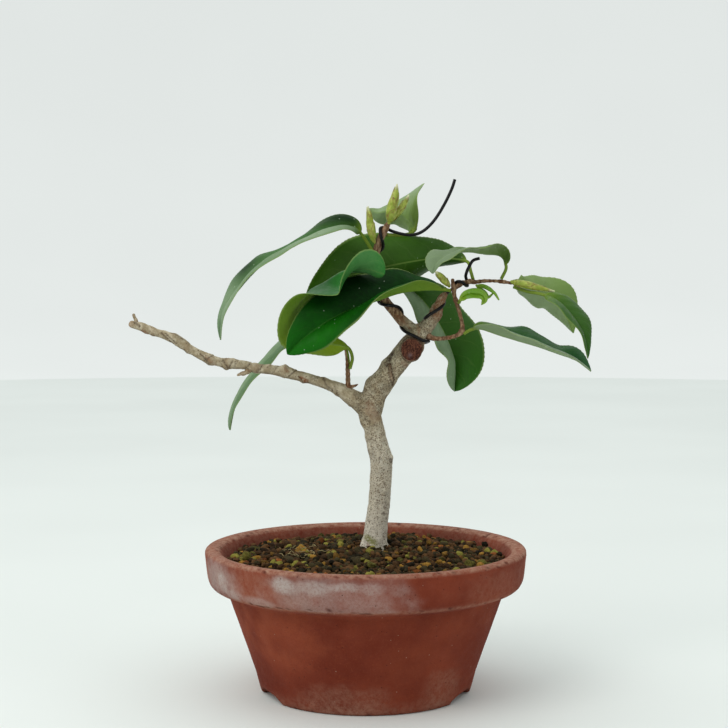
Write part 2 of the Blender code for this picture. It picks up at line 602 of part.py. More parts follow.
def make_wires(coll: bpy.types.Collection) -> list:
    """The two aluminium wires: wound round their branches, with a free end each."""
    top = plain(through(TOP_WIRE_START, 16))
    top += wrap(TOP_TWIG, 0.12, 0.95, -2.82, math.radians(183), 0.35)
    top += plain(through(TOP_WIRE_END, 26))
    side = wrap(STUB, 0.18, 0.88, 0.861, math.radians(220), 0.35)
    side += plain(SIDE_WIRE_LINK)
    side += wrap(END_TWIG, 0.04, 0.26, 0.75, math.radians(180), 0.35)
    side += plain(through(SIDE_WIRE_END, 16))
    return [tube("wire_top", top, coll, 6), tube("wire_side", side, coll, 6)]


def main() -> None:
    """Build every piece of the bonsai under one empty at the pot's foot."""
    clear_scene()
    coll = collection("wabisuke_camellia_bonsai")
    cutters = collection("cutters")
    root = bpy.data.objects.new("bonsai", None)
    coll.objects.link(root)
    root.location = (POT_AXIS[0] * MM, POT_AXIS[1] * MM, 0.0)

    finish(make_pot(coll, cutters), material("terracotta"), root)
    finish(make_net(coll, cutters), material("net"), root)
    soil = make_soil(coll)
    cut(soil, make_hole(cutters))
    finish(soil, material("akadama"), root)
    finish(make_wood(coll), material("bark"), root)

    for name, spec in LEAVES.items():
        kind = "young_leaf" if "young" in name else "leaf"
        finish(make_leaf(name, spec, coll), material(kind), root)
    rolled = [tube("rolled", through(line, 8), coll, 6) for line in YOUNG_PAIR]
    finish(join("leaf_young_pair", rolled), material("young_leaf"), root)
    for name, lines in BUDS.items():
        buds = [tube("bud", through(line, 8), coll, 8) for line in lines]
        finish(join(name, buds), material("bud"), root)
    for wire in make_wires(coll):
        finish(wire, material("wire"), root)
    bpy.context.view_layer.update()


main()
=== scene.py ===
"""Looks of a young wabisuke camellia, newly wired and standing in its terracotta training pot.

The tables are in millimetres from the pot's axis and the surface that the pot stands on. +Z is
up and the plant is seen from -Y. Every piece is built as real geometry round the same lines as
its solid, and is given a finish made from noise and from values kept at its vertices.
"""

import logging
import math
import random
from collections.abc import Sequence
from dataclasses import dataclass, field
from enum import Enum

import bmesh
import bpy
import numpy as np
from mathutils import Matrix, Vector, kdtree, noise


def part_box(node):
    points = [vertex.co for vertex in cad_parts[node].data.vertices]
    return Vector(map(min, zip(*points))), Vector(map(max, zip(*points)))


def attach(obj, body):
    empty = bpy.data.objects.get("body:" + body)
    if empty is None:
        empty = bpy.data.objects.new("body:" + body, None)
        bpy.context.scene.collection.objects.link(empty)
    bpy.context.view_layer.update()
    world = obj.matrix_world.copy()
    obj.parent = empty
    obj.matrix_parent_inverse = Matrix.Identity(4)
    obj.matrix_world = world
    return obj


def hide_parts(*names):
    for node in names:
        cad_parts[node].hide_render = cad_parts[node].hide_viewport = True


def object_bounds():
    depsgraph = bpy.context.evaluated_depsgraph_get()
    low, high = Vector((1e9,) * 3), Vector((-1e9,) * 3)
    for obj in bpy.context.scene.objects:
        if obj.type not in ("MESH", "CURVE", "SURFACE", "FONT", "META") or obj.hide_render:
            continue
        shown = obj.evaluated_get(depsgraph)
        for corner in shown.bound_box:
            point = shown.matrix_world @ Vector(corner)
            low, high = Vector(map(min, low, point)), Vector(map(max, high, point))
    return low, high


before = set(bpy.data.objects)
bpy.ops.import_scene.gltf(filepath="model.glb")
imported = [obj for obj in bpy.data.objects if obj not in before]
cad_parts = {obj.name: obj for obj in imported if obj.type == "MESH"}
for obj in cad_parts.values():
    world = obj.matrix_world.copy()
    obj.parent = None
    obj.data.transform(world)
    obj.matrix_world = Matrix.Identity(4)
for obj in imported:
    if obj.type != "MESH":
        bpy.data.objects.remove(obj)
CAD_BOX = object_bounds()

MM = 0.001
LOG = logging.getLogger("bonsai")
Colour = tuple[float, float, float, float]
Rows = Sequence[Sequence[float]]
Array = np.ndarray
Material = bpy.types.Material
Socket = bpy.types.NodeSocket


def pot_axis() -> Array:
    """The foot of the pot's axis in millimetres, taken from its solid."""
    low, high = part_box("pot")
    return np.array([(low.x + high.x) / 2, (low.y + high.y) / 2, low.z]) / MM


AXIS = pot_axis()

# Side veins of a leaf: how many a half has, and how far and how strongly they lean to the tip
VEINS = 8.0
VEIN_LEAN = 0.17
VEIN_BEND = 1.35

# The end of a rod: share of the radius and reach beyond the last ring, of two rings
DOMED = ((0.87, 0.5), (0.5, 0.87))
SNIPPED = ((0.9, 0.02), (0.55, 0.03))


# Lines and surfaces


def tint(red: int, green: int, blue: int) -> Colour:
    """A colour as it is seen on a screen, turned into the light it gives back."""
    channels = []
    for value in (red, green, blue):
        share = value / 255.0
        channels.append(share / 12.92 if share <= 0.04045 else ((share + 0.055) / 1.055) ** 2.4)
    return (channels[0], channels[1], channels[2], 1.0)


def unit(vectors: Array) -> Array:
    """The vectors along the last axis, each made one long."""
    length = np.linalg.norm(vectors, axis=-1, keepdims=True)
    return vectors / np.maximum(length, 1e-9)


def bell(value: Array, width: float) -> Array:
    """1 where the value is 0, falling smoothly away to both sides over a width."""
    return np.exp(-((value / width) ** 2))


def full_turn(count: int) -> Array:
    """Angles spread evenly over a full turn, in radians."""
    return np.arange(count) * 2 * math.pi / count


def run_length(points: Array) -> Array:
    """Distance along a line from its first point, at each point."""
    steps = np.linalg.norm(np.diff(points[:, :3], axis=0), axis=1)
    return np.concatenate(([0.0], np.cumsum(steps)))


def smoothstep(value: Array, low: float, high: float) -> Array:
    """0 below low, 1 above high and a smooth rise between them."""
    share = np.clip((np.asarray(value, float) - low) / (high - low), 0.0, 1.0)
    return share * share * (3.0 - 2.0 * share)


def lumps(points: Array, size: float, seed: float) -> Array:
    """Smooth noise between -1 and 1 at points.

    Args:
        points: places in millimetres, one row each.
        size: width of a lump in millimetres.
        seed: shifts the pattern.

    Returns:
        One value for each point.
    """
    spots = points / size + np.array([seed, seed * 1.7, -seed])
    return np.array([noise.noise(Vector(spot)) for spot in spots])


def through(rows: Rows, shares: Array) -> Array:
    """Rows on a smooth line through the given ones.

    Args:
        rows: rows that start with x, y, z, with any further columns.
        shares: places along the line, from 0 to 1.

    Returns:
        One row for each share, every column interpolated alike.
    """
    table = np.asarray(rows, float)
    along = run_length(table)
    along /= along[-1]
    last = len(table) - 1
    before = np.maximum(np.arange(last + 1) - 1, 0)
    after = np.minimum(np.arange(last + 1) + 1, last)
    slope = (table[after] - table[before]) / (along[after] - along[before])[:, None]
    i = np.clip(np.searchsorted(along, shares) - 1, 0, last - 1)
    span = (along[i + 1] - along[i])[:, None]
    u = (np.asarray(shares) - along[i])[:, None] / span
    return (
        (2 * u**3 - 3 * u**2 + 1) * table[i]
        + (u**3 - 2 * u**2 + u) * span * slope[i]
        + (-2 * u**3 + 3 * u**2) * table[i + 1]
        + (u**3 - u**2) * span * slope[i + 1]
    )


def evenly(rows: Rows, count: int) -> Array:
    """A number of rows spread evenly over the smooth line through the given ones."""
    return through(rows, np.linspace(0, 1, count))


def facing_frame(run: Array) -> tuple[Array, Array]:
    """Two directions square to a line's run: towards the front, and across.

    Args:
        run: unit vectors along the line, one row each.

    Returns:
        The vectors towards the front (-Y) and those across.
    """
    front = np.array([0.0, -1.0, 0.0])
    out = unit(front - run * (run @ front)[:, None])
    return out, np.cross(run, out)


def transport_frame(spots: Array) -> tuple[Array, Array, Array]:
    """A frame carried along a line without twisting.

    Args:
        spots: points of the line.

    Returns:
        The run and two directions square to it, at each point.
    """
    run = unit(np.gradient(spots, axis=0))
    side = np.cross(run[0], (0.0, 0.0, 1.0))
    if np.linalg.norm(side) < 0.1:
        side = np.cross(run[0], (1.0, 0.0, 0.0))
    sides = np.empty_like(run)
    for i, way in enumerate(run):
        side = side - way * side.dot(way)
        side = side / np.linalg.norm(side)
        sides[i] = side
    return run, sides, np.cross(run, sides)


def placed(name: str, data: bpy.types.ID) -> bpy.types.Object:
    """A new object, put in the scene."""
    obj = bpy.data.objects.new(name, data)
    bpy.context.scene.collection.objects.link(obj)
    return obj


class Skin:
    """A surface in the making: points in millimetres, faces, and values kept at the points."""

    def __init__(self, points: Array, faces: list, **values: Array) -> None:
        """Keep the points, the faces and any named values."""
        self.points = np.asarray(points, float)
        self.faces = faces
        self.values = {key: np.asarray(value, float).ravel() for key, value in values.items()}

    @staticmethod
    def merged(skins: list["Skin"]) -> "Skin":
        """Several skins as one, their points not joined."""
        faces, start = [], 0
        for skin in skins:
            faces.extend([tuple(i + start for i in face) for face in skin.faces])
            start += len(skin.points)
        names = {key for skin in skins for key in skin.values}
        values = {}
        for key in sorted(names):
            parts = [skin.values.get(key, np.zeros(len(skin.points))) for skin in skins]
            values[key] = np.concatenate(parts)
        return Skin(np.concatenate([skin.points for skin in skins]), faces, **values)

    def to_object(self, name: str) -> bpy.types.Object:
        """The skin as a smooth-shaded object in the frame of the solids."""
        mesh = bpy.data.meshes.new(name)
        mesh.from_pydata(((self.points + AXIS) * MM).tolist(), [], self.faces)
        mesh.validate()
        for key, value in self.values.items():
            mesh.attributes.new(key, "FLOAT", "POINT").data.foreach_set("value", value)
        mesh.shade_smooth()
        return placed(name, mesh)


def grid_faces(rows: int, cols: int, start: int = 0, flip: bool = False,
               ring: bool = False) -> list:
    """Quads over a grid of points kept row by row.

    Args:
        rows: number of rows of points.
        cols: number of points in a row.
        start: index of the first point.
        flip: turn the faces over.
        ring: close each row into a ring.

    Returns:
        The faces, as tuples of four indices.
    """
    index = np.arange(rows * cols).reshape(rows, cols) + start
    if ring:
        index = np.concatenate((index, index[:, :1]), axis=1)
    quads = np.stack((index[:-1, :-1], index[:-1, 1:], index[1:, 1:], index[1:, :-1]), axis=-1)
    return [tuple(quad[::-1] if flip else quad) for quad in quads.reshape(-1, 4).tolist()]


def swept(line: Array, sides: int, blunt: bool = False, swell: Array | None = None) -> Skin:
    """A closed rod along a line.

    Args:
        line: rows of x, y, z and radius.
        sides: points round the rod.
        blunt: square the ends off instead of doming them.
        swell: factor on the radius for each ring and side.

    Returns:
        The rod, with the distance along it at each point as the value "along".
    """
    run, side, up = transport_frame(line[:, :3])
    turn = full_turn(sides)
    spokes = side[:, None] * np.cos(turn)[:, None] + up[:, None] * np.sin(turn)[:, None]
    radius = np.repeat(line[:, 3:4], sides, axis=1)
    if swell is not None:
        radius = radius * swell
    rings = line[:, None, :3] + spokes * radius[:, :, None]
    ends = []
    for at, way in ((0, -1.0), (-1, 1.0)):
        ends.append([
            line[at, :3] + spokes[at] * radius[at][:, None] * share
            + run[at] * way * line[at, 3] * reach for share, reach in (SNIPPED if blunt else DOMED)
        ])
    stack = ends[0][::-1] + list(rings) + ends[1]
    along = run_length(line)
    along = np.concatenate(([0.0, 0.0], along, [along[-1]] * 2))
    count = len(stack)
    tip = 0.04 if blunt else 1.0
    poles = [line[0, :3] - run[0] * line[0, 3] * tip, line[-1, :3] + run[-1] * line[-1, 3] * tip]
    points = np.concatenate((np.concatenate(stack), np.array(poles)))
    faces = grid_faces(count, sides, ring=True)
    for k in range(sides):
        nxt = (k + 1) % sides
        faces.append((count * sides, nxt, k))
        faces.append((count * sides + 1, (count - 1) * sides + k, (count - 1) * sides + nxt))
    lengths = np.concatenate((np.repeat(along, sides), [0.0, along[-1]]))
    return Skin(points, faces, along=lengths)


def shell(mid: Array, normal: Array, over: Array, under: Array, values: dict) -> Skin:
    """A closed shell with an upper and an under face, joined round its edge.

    Args:
        mid: points of the middle surface, rows by columns.
        normal: which way the upper face looks, at each point.
        over: height of the upper face over the middle, in millimetres.
        under: depth of the under face.
        values: named values for the points of both faces.

    Returns:
        The shell, with the value "under" 0 above and 1 below.
    """
    rows, cols = mid.shape[:2]
    top = (mid + normal * over[..., None]).reshape(-1, 3)
    low = (mid - normal * under[..., None]).reshape(-1, 3)
    half = rows * cols
    faces = grid_faces(rows, cols) + grid_faces(rows, cols, half, flip=True)
    index = np.arange(half).reshape(rows, cols)
    border = np.concatenate((
        index[0, :-1], index[:-1, -1], index[-1, :0:-1], index[:0:-1, 0],
    )).tolist()
    for a, b in zip(border, border[1:] + border[:1]):
        faces.append((b, a, a + half, b + half))
    doubled = {key: np.tile(np.asarray(value, float).ravel(), 2) for key, value in values.items()}
    doubled["under"] = np.concatenate((np.zeros(half), np.ones(half)))
    return Skin(np.concatenate((top, low)), faces, **doubled)


def grid_normals(mid: Array) -> Array:
    """Unit normals of a grid of points, rows by columns."""
    along = np.gradient(mid, axis=0)
    across = np.gradient(mid, axis=1)
    return unit(np.cross(across, along))


# Finishes


class Graph:
    """A node tree, with a short call for each kind of node that is used."""

    def __init__(self, owner: bpy.types.ID, kind: str) -> None:
        """Start on the nodes of a material or a world, with one kind of place for its noise."""
        owner.use_nodes = True
        self.owner = owner
        self.nodes = owner.node_tree.nodes
        self.links = owner.node_tree.links
        self.place = self.nodes.new("ShaderNodeTexCoord").outputs[kind]

    @classmethod
    def material(cls, name: str) -> "Graph":
        """A new material's nodes."""
        return cls(bpy.data.materials.new(name), "Object")

    def feed(self, value: object, socket: Socket) -> None:
        """Link a socket to another, or set its value."""
        if isinstance(value, Socket):
            self.links.new(value, socket)
        else:
            socket.default_value = value

    def node(self, kind: str, inputs: dict, **settings: str) -> bpy.types.Node:
        """A new node of a kind, with its settings made and its inputs fed."""
        node = self.nodes.new(f"ShaderNode{kind}")
        for key, setting in settings.items():
            setattr(node, key, setting)
        for key, value in inputs.items():
            self.feed(value, node.inputs[key])
        return node

    def value(self, name: str) -> Socket:
        """A value kept at the points of the mesh."""
        return self.node("Attribute", {}, attribute_name=name).outputs["Fac"]

    def moved(self, kind: str, by: object) -> Socket:
        """The place after a sum of the named kind with another place."""
        node = self.node("VectorMath", {0: self.place, 1: by}, operation=kind)
        return node.outputs["Value" if kind == "DISTANCE" else "Vector"]

    def stretched(self, x: float, y: float, z: float) -> Socket:
        """The place, scaled along its three axes."""
        return self.moved("MULTIPLY", (x, y, z))

    def mottle(self, size: float, detail: float = 3.0, rough: float = 0.55,
               place: Socket | None = None) -> Socket:
        """Cloudy noise with patches of a size in millimetres."""
        inputs = {"Vector": place or self.place, "Scale": 1.0 / (size * MM), "Detail": detail,
                  "Roughness": rough}
        return self.node("TexNoise", inputs).outputs["Fac"]

    def cells(self, size: float, chance: bool = False,
              place: Socket | None = None) -> Socket:
        """Distance from the middle of scattered cells, or a random value for each cell."""
        inputs = {"Vector": place or self.place, "Scale": 1.0 / (size * MM)}
        node = self.node("TexVoronoi", inputs)
        if not chance:
            return node.outputs["Distance"]
        return self.node("SeparateColor", {0: node.outputs["Color"]}).outputs[0]

    def flecks(self, size: float, rim: float, core: float, rare: float,
               sure: float) -> Socket:
        """Scattered specks.

        Args:
            size: width of the cells that may hold one, in millimetres.
            rim: where a speck ends, as a share of its cell.
            core: where it is full.
            rare: chance value below which a cell has none.
            sure: chance value above which its speck is full.

        Returns:
            1 on a speck and 0 between them.
        """
        return self.both(self.span(self.cells(size), rim, core),
                         self.span(self.cells(size, True), rare, sure))

    def sum(self, kind: str, first: object, second: object = 0.0) -> Socket:
        """A sum of the named kind on one or two values."""
        return self.node("Math", {0: first, 1: second}, operation=kind).outputs[0]

    def span(self, value: object, low: float, high: float, start: float = 0.0,
             end: float = 1.0) -> Socket:
        """A value between low and high, brought smoothly to start and end."""
        inputs = {"Value": value, "From Min": low, "From Max": high, "To Min": start,
                  "To Max": end}
        return self.node("MapRange", inputs, interpolation_type="SMOOTHSTEP").outputs["Result"]

    def both(self, *values: object) -> Socket:
        """The product of several values."""
        result = values[0]
        for value in values[1:]:
            result = self.sum("MULTIPLY", result, value)
        return result

    def blend(self, share: object, first: object, second: object) -> Socket:
        """A colour between two, by a share."""
        return self.node("Mix", {0: share, 6: first, 7: second}, data_type="RGBA").outputs[2]

    def layers(self, colour: object, *coats: tuple) -> Socket:
        """Coats of colour laid over one another.

        Args:
            colour: the ground.
            coats: for each coat its colour and then the shares whose product says how much of
                it shows.

        Returns:
            The ground with all its coats.
        """
        for coat, *shares in coats:
            colour = self.blend(self.both(*shares), colour, coat)
        return colour

    def relief(self, height: object, depth: float) -> Socket:
        """A normal bumped by a height between 0 and 1, of a depth in millimetres."""
        return self.node("Bump", {"Distance": depth * MM, "Height": height}).outputs["Normal"]

    def shade(self, colour: object, rough: object, normal: Socket,
              **settings: object) -> Material:
        """Set the shader's inputs and give the material.

        Args:
            colour: base colour.
            rough: roughness.
            normal: bumped normal.
            settings: other inputs of the shader, spaces written as underscores.

        Returns:
            The finished material.
        """
        inputs = self.nodes["Principled BSDF"].inputs
        self.feed(colour, inputs["Base Color"])
        self.feed(rough, inputs["Roughness"])
        self.feed(normal, inputs["Normal"])
        for key, number in settings.items():
            inputs[key.replace("_", " ")].default_value = number
        return self.owner


@dataclass(frozen=True)
class Terracotta:
    """Unglazed red-brown clay with lime bloom, damp blotches, painted shadow, chips and grit."""

    brick: Colour = tint(133, 61, 41)
    deep: Colour = tint(107, 42, 27)
    orange: Colour = tint(150, 76, 50)
    salmon: Colour = tint(168, 128, 108)
    bloom: Colour = tint(194, 188, 182)
    grit: Colour = tint(78, 32, 24)
    chip: Colour = tint(72, 30, 24)
    fleck: Colour = tint(206, 184, 164)

    def build(self) -> Material:
        """The clay's material."""
        g = Graph.material("terracotta")
        fine = g.mottle(1.1, 4, 0.7)
        pits = g.flecks(2.4, 0.15, 0.08, 0.8, 0.83)
        soft = g.span(g.mottle(7, 5, 0.62), 0.15, 0.62, 0.45, 1.0)
        grainy = g.span(fine, 0.25, 0.6, 0.55, 1.0)
        colour = g.layers(
            self.deep,
            (self.brick, g.span(g.mottle(34, 3), 0.32, 0.68)),
            # Damp blotches, and the painted shadow under the band, darken the clay
            (self.deep, g.value("dark"), 0.7),
            (self.orange, g.value("warm"), g.span(g.mottle(9, 4), 0.2, 0.7)),
            (self.orange, g.span(fine, 0.5, 0.72), 0.25),
            (self.salmon, g.value("dust"), g.span(g.mottle(2.4, 4, 0.7), 0.2, 0.7)),
            (self.bloom, g.value("bloom"), soft, grainy),
            (self.grit, g.span(g.mottle(0.5, 2), 0.6, 0.7), 0.35),
            (self.grit, pits, 0.75),
            (self.fleck, g.flecks(3.4, 0.09, 0.05, 0.74, 0.78), 0.35),
            (self.chip, g.value("chip"), 0.8),
        )
        grain = g.sum("ADD", g.mottle(0.5, 3, 0.7), g.both(g.mottle(2.4, 3), 0.5))
        height = g.sum("SUBTRACT", grain, g.both(pits, 1.4))
        rough = g.span(g.mottle(4, 3), 0.3, 0.7, 0.82, 0.96)
        return g.shade(colour, rough, g.relief(height, 0.14), Specular_IOR_Level=0.15)


@dataclass(frozen=True)
class Grit:
    """One kind of soil grain: crumbly, matt and mottled."""

    name: str
    light: Colour
    dark: Colour
    dust: Colour

    def build(self) -> Material:
        """The grain's material; each grain has its own shade."""
        g = Graph.material(self.name)
        shade = g.sum("ADD", g.both(g.value("shade"), 0.7), g.both(g.mottle(1.1, 3, 0.6), 0.5))
        colour = g.layers(self.dark, (self.light, g.span(shade, 0.15, 0.95)),
                          (self.dust, g.span(g.mottle(0.35, 2), 0.56, 0.7), 0.4))
        height = g.sum("ADD", g.mottle(0.5, 3, 0.7), g.mottle(1.3, 2))
        return g.shade(colour, 0.95, g.relief(height, 0.4), Specular_IOR_Level=0.12)


@dataclass(frozen=True)
class Bark:
    """Pale camellia bark with dark dots, rust patches, moss and the pruning scar."""

    cream: Colour = tint(202, 190, 164)
    sand: Colour = tint(158, 142, 114)
    grey: Colour = tint(150, 144, 126)
    dot: Colour = tint(98, 80, 62)
    groove: Colour = tint(66, 46, 34)
    rust: Colour = tint(128, 78, 48)
    moss: Colour = tint(128, 130, 62)
    lilac: Colour = tint(232, 225, 210)
    twig: Colour = tint(108, 78, 58)
    twig_light: Colour = tint(176, 144, 114)
    scar: Colour = tint(122, 76, 58)
    scar_dark: Colour = tint(68, 38, 30)
    heart: Colour = tint(136, 112, 112)
    scar_at: tuple[float, float, float] = (21.0, -1.0, 159.2)
    ring_rate: float = 4200.0
    ring_wander: float = 26.0

    def scar_rings(self, g: Graph) -> Socket:
        """Rings and splits on the face of the scar."""
        middle = tuple((AXIS + np.array(self.scar_at)) * MM)
        away = g.both(g.moved("DISTANCE", middle), self.ring_rate)
        wave = g.sum("ADD", away, g.both(g.mottle(2.0, 3, 0.6), self.ring_wander))
        rings = g.span(g.sum("SINE", wave), -1.0, 0.1)
        split = g.span(g.mottle(1.1, 3, 0.6, g.stretched(1.7, 1.0, 0.4)), 0.36, 0.56)
        return g.both(rings, split)

    def dots(self, g: Graph, size: float, low: float) -> Socket:
        """Ragged dark dots of a size, as many as the spots value asks for."""
        wobble = g.node("CombineXYZ", {})
        for k, socket in enumerate(wobble.inputs):
            g.feed(g.both(g.sum("SUBTRACT", g.mottle(0.5 + 0.07 * k, 2), 0.5), size * MM), socket)
        where = g.moved("ADD", wobble.outputs[0])
        dot = g.span(g.cells(size, place=where), low + 0.14, low)
        chance = g.sum("SUBTRACT", g.value("spots"), g.cells(size, True, where))
        return g.both(dot, g.span(chance, -0.04, 0.08))

    def build(self) -> Material:
        """The bark's material."""
        g = Graph.material("bark")
        fibre = g.mottle(0.7, 3, 0.65, g.stretched(1.0, 1.0, 0.5))
        twig = g.span(g.mottle(1.4, 4, 0.65, g.stretched(1, 1, 0.5)), 0.42, 0.68)
        dots = g.both(g.sum("MAXIMUM", self.dots(g, 1.0, 0.26), self.dots(g, 0.55, 0.30)), 0.8)
        stained = g.both(g.span(g.mottle(1.0, 3), 0.3, 0.6, 0.35, 1.0), 0.95)
        face = g.layers(self.scar_dark, (self.scar, self.scar_rings(g)),
                        (self.heart, g.value("heart"), 0.85))
        colour = g.layers(
            self.sand,
            (self.cream, g.span(g.mottle(3.0, 4, 0.6), 0.36, 0.66)),
            (self.grey, g.value("old"), g.span(g.mottle(5, 3), 0.42, 0.62), 0.55),
            (self.lilac, g.value("pale"), 0.75),
            (self.sand, g.span(fibre, 0.5, 0.66), 0.5),
            (self.dot, dots),
            (g.blend(twig, self.twig, self.twig_light), g.value("twig")),
            (self.rust, g.value("rust"), stained),
            (self.moss, g.value("moss"), stained),
            # Grooves, and the painted shade under the left branch, in the groove colour
            (self.groove, g.value("groove"), stained),
            (face, g.value("scar")),
        )
        height = g.sum("ADD", g.both(fibre, 0.8), g.both(g.mottle(0.4, 2), 0.5))
        height = g.sum("SUBTRACT", height, g.both(dots, 0.5))
        return g.shade(colour, g.span(g.mottle(2, 2), 0.3, 0.7, 0.75, 0.94),
                       g.relief(height, 0.25), Specular_IOR_Level=0.15)


@dataclass(frozen=True)
class LeafFinish:
    """A camellia leaf's two faces, each from its base to its tip, with rib and side veins.

    Pale and shadow are the colours of its painted sheen and painted shade. Shine is how strongly
    the face mirrors, coat the share of wax on it, and lines how plainly the rib and the veins show.
    """

    name: str
    upper_base: Colour
    upper: Colour
    upper_tip: Colour
    under_base: Colour
    under: Colour
    under_tip: Colour
    rib: Colour = tint(122, 150, 74)
    stalk: Colour = tint(118, 140, 48)
    # Rim colour: the leaf's own paler margin, partly a painted edge highlight
    edge: Colour = tint(150, 170, 96)
    dust: Colour = tint(196, 208, 190)
    # Colours of the painted sheen and of the painted shade
    pale: Colour = tint(150, 170, 138)
    shadow: Colour = tint(18, 46, 12)
    gloss: float = 0.5
    coat: float = 0.0
    shine: float = 0.18
    lines: float = 1.0

    def veins(self, g: Graph) -> Socket:
        """Side veins that leave the midrib and bend towards the tip."""
        away = g.sum("ABSOLUTE", g.value("across"))
        lean = g.both(g.sum("POWER", away, VEIN_BEND), VEIN_LEAN)
        side = g.both(g.sum("GREATER_THAN", g.value("across"), 0.0), 0.5)
        phase = g.sum("ADD", g.both(g.sum("SUBTRACT", g.value("along"), lean), VEINS), side)
        wiggle = g.both(g.mottle(4.0, 2), 0.35)
        line = g.sum("PINGPONG", g.sum("ADD", phase, wiggle), 0.5)
        return g.both(g.span(line, 0.055, 0.012), g.span(away, 0.95, 0.6))

    def build(self) -> Material:
        """The leaf's material."""
        g = Graph.material(f"leaf_{self.name}")
        along, under = g.value("along"), g.value("under")
        veins = self.veins(g)
        net = g.span(g.cells(0.9), 0.25, 0.6)
        cloud = g.mottle(9, 3, 0.5)
        reach = g.sum("ADD", along, g.both(cloud, 0.3))
        upper = g.layers(
            self.upper_base,
            (self.upper, g.span(reach, 0.05, 0.5)),
            (self.upper_tip, g.span(reach, 0.7, 1.2)),
            (self.upper_tip, g.span(g.mottle(2.2, 3), 0.4, 0.75), 0.25),
            (self.rib, veins, 0.09 * self.lines),
        )
        lower = g.layers(
            self.under_base,
            (self.under, g.span(g.sum("ADD", along, g.both(cloud, 0.25)), 0.1, 0.55)),
            (self.under_tip, g.span(along, 0.5, 0.66)),
            (self.rib, veins, 0.16),
            (self.rib, net, 0.10),
        )
        rib = g.both(g.span(g.value("rib"), 0.42, 0.16), g.span(along, 1.0, 0.6, 0.25, 0.8))
        colour = g.layers(
            g.blend(under, upper, lower),
            # Painted sheen in the pale colour
            (self.pale, g.value("pale"), g.span(g.mottle(5, 4, 0.6), 0.1, 0.6, 0.6, 1.0)),
            # Painted shade in the shadow colour
            (self.shadow, g.value("gloom")),
            (self.rib, rib, 0.7 * self.lines),
            # Paler rim: partly the leaf's own margin, partly a painted edge highlight
            (self.edge, g.value("edge"), 0.55),
            (self.dust, g.flecks(2.3, 0.13, 0.07, 0.78, 0.82), g.sum("SUBTRACT", 1.0, under), 0.55),
            (self.stalk, g.value("stalk")),
        )
        height = g.sum("SUBTRACT", g.both(g.mottle(0.7, 2), 0.4), g.both(veins, 0.4))
        height = g.sum("ADD", height, g.both(net, 0.15))
        rough = g.sum("ADD", g.span(g.mottle(3, 3), 0.3, 0.7, self.gloss - 0.05, self.gloss + 0.08),
                      g.both(under, 0.22))
        return g.shade(colour, rough, g.relief(height, 0.12), Coat_Weight=self.coat,
                       Coat_Roughness=0.3, Specular_IOR_Level=self.shine)


@dataclass(frozen=True)
class BudFinish:
    """Overlapping bud scales: yellow-green, flecked red-brown, with pale pointed tips."""

    green: Colour = tint(138, 158, 38)
    pale: Colour = tint(186, 196, 88)
    brown: Colour = tint(124, 74, 40)
    tip: Colour = tint(226, 224, 188)

    def build(self) -> Material:
        """The bud's material."""
        g = Graph.material("bud")
        marks = g.span(g.mottle(0.9, 3, 0.6, g.stretched(1.0, 1.0, 0.45)), 0.52, 0.62)
        frayed = g.span(g.mottle(0.8, 2), 0.35, 0.6, 0.4, 1.0)
        colour = g.layers(
            self.green,
            (self.pale, g.span(g.mottle(2.4, 2), 0.35, 0.7)),
            (self.brown, marks, 0.45),
            (self.brown, g.value("rim"), frayed, 0.95),
            (self.tip, g.span(g.value("along"), 0.82, 1.0), 0.8),
        )
        fibre = g.mottle(0.4, 3, 0.6)
        return g.shade(colour, g.span(fibre, 0.3, 0.7, 0.38, 0.55), g.relief(fibre, 0.06),
                       Coat_Weight=0.15, Coat_Roughness=0.3)


@dataclass(frozen=True)
class WireFinish:
    """Black anodised aluminium wire, slightly scuffed."""

    black: Colour = tint(30, 29, 30)
    scuff: Colour = tint(92, 90, 92)
    bare_and_glint: Colour = tint(226, 226, 230)

    def build(self) -> Material:
        """The wire's material."""
        g = Graph.material("wire")
        wear = g.span(g.mottle(1.4, 4, 0.7), 0.58, 0.72)
        # Pale flecks: partly bare metal, partly painted glints
        colour = g.layers(self.black, (self.scuff, wear, 0.6),
                          (self.bare_and_glint, g.flecks(1.9, 0.16, 0.08, 0.66, 0.7), 0.9))
        rough = g.span(g.mottle(0.8, 3), 0.3, 0.7, 0.28, 0.45)
        return g.shade(colour, rough, g.relief(g.mottle(0.5, 2), 0.03), Metallic=0.75)


@dataclass(frozen=True)
class NetFinish:
    """Moulded black plastic with a little soil dust."""

    black: Colour = tint(28, 28, 29)
    dust: Colour = tint(96, 72, 52)

    def build(self) -> Material:
        """The net's material."""
        g = Graph.material("net")
        dust = g.span(g.mottle(2.0, 4, 0.65), 0.5, 0.75)
        colour = g.blend(g.both(dust, 0.5), self.black, self.dust)
        return g.shade(colour, g.span(dust, 0.0, 1.0, 0.45, 0.85), g.relief(g.mottle(0.6, 2), 0.05))


@dataclass(frozen=True)
class Backdrop:
    """Pale paint on the floor and the wall behind."""

    name: str
    light: Colour
    dark: Colour
    glow: float = 0.0
    glow_colour: Colour = tint(250, 255, 253)

    def build(self) -> Material:
        """The paint's material."""
        g = Graph.material(self.name)
        colour = g.blend(g.span(g.mottle(400, 2), 0.3, 0.7), self.light, self.dark)
        return g.shade(colour, 0.9, g.relief(g.mottle(3, 2), 0.05), Specular_IOR_Level=0.2,
                       Emission_Strength=self.glow, Emission_Color=self.glow_colour)


def dressed(skin: Skin, name: str, material: Material, slot: str, *nodes: str) -> None:
    """Turn a skin into a finished piece that rides on the plant.

    Args:
        skin: the piece's surface.
        name: the piece's name.
        material: its finish.
        slot: not used.
        nodes: the solids that it stands for.
    """
    obj = skin.to_object(name)
    obj.data.materials.append(material)
    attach(obj, "root")
    if nodes:
        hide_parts(*nodes)
    LOG.info("%s: %d faces", name, len(obj.data.polygons))


# The pot


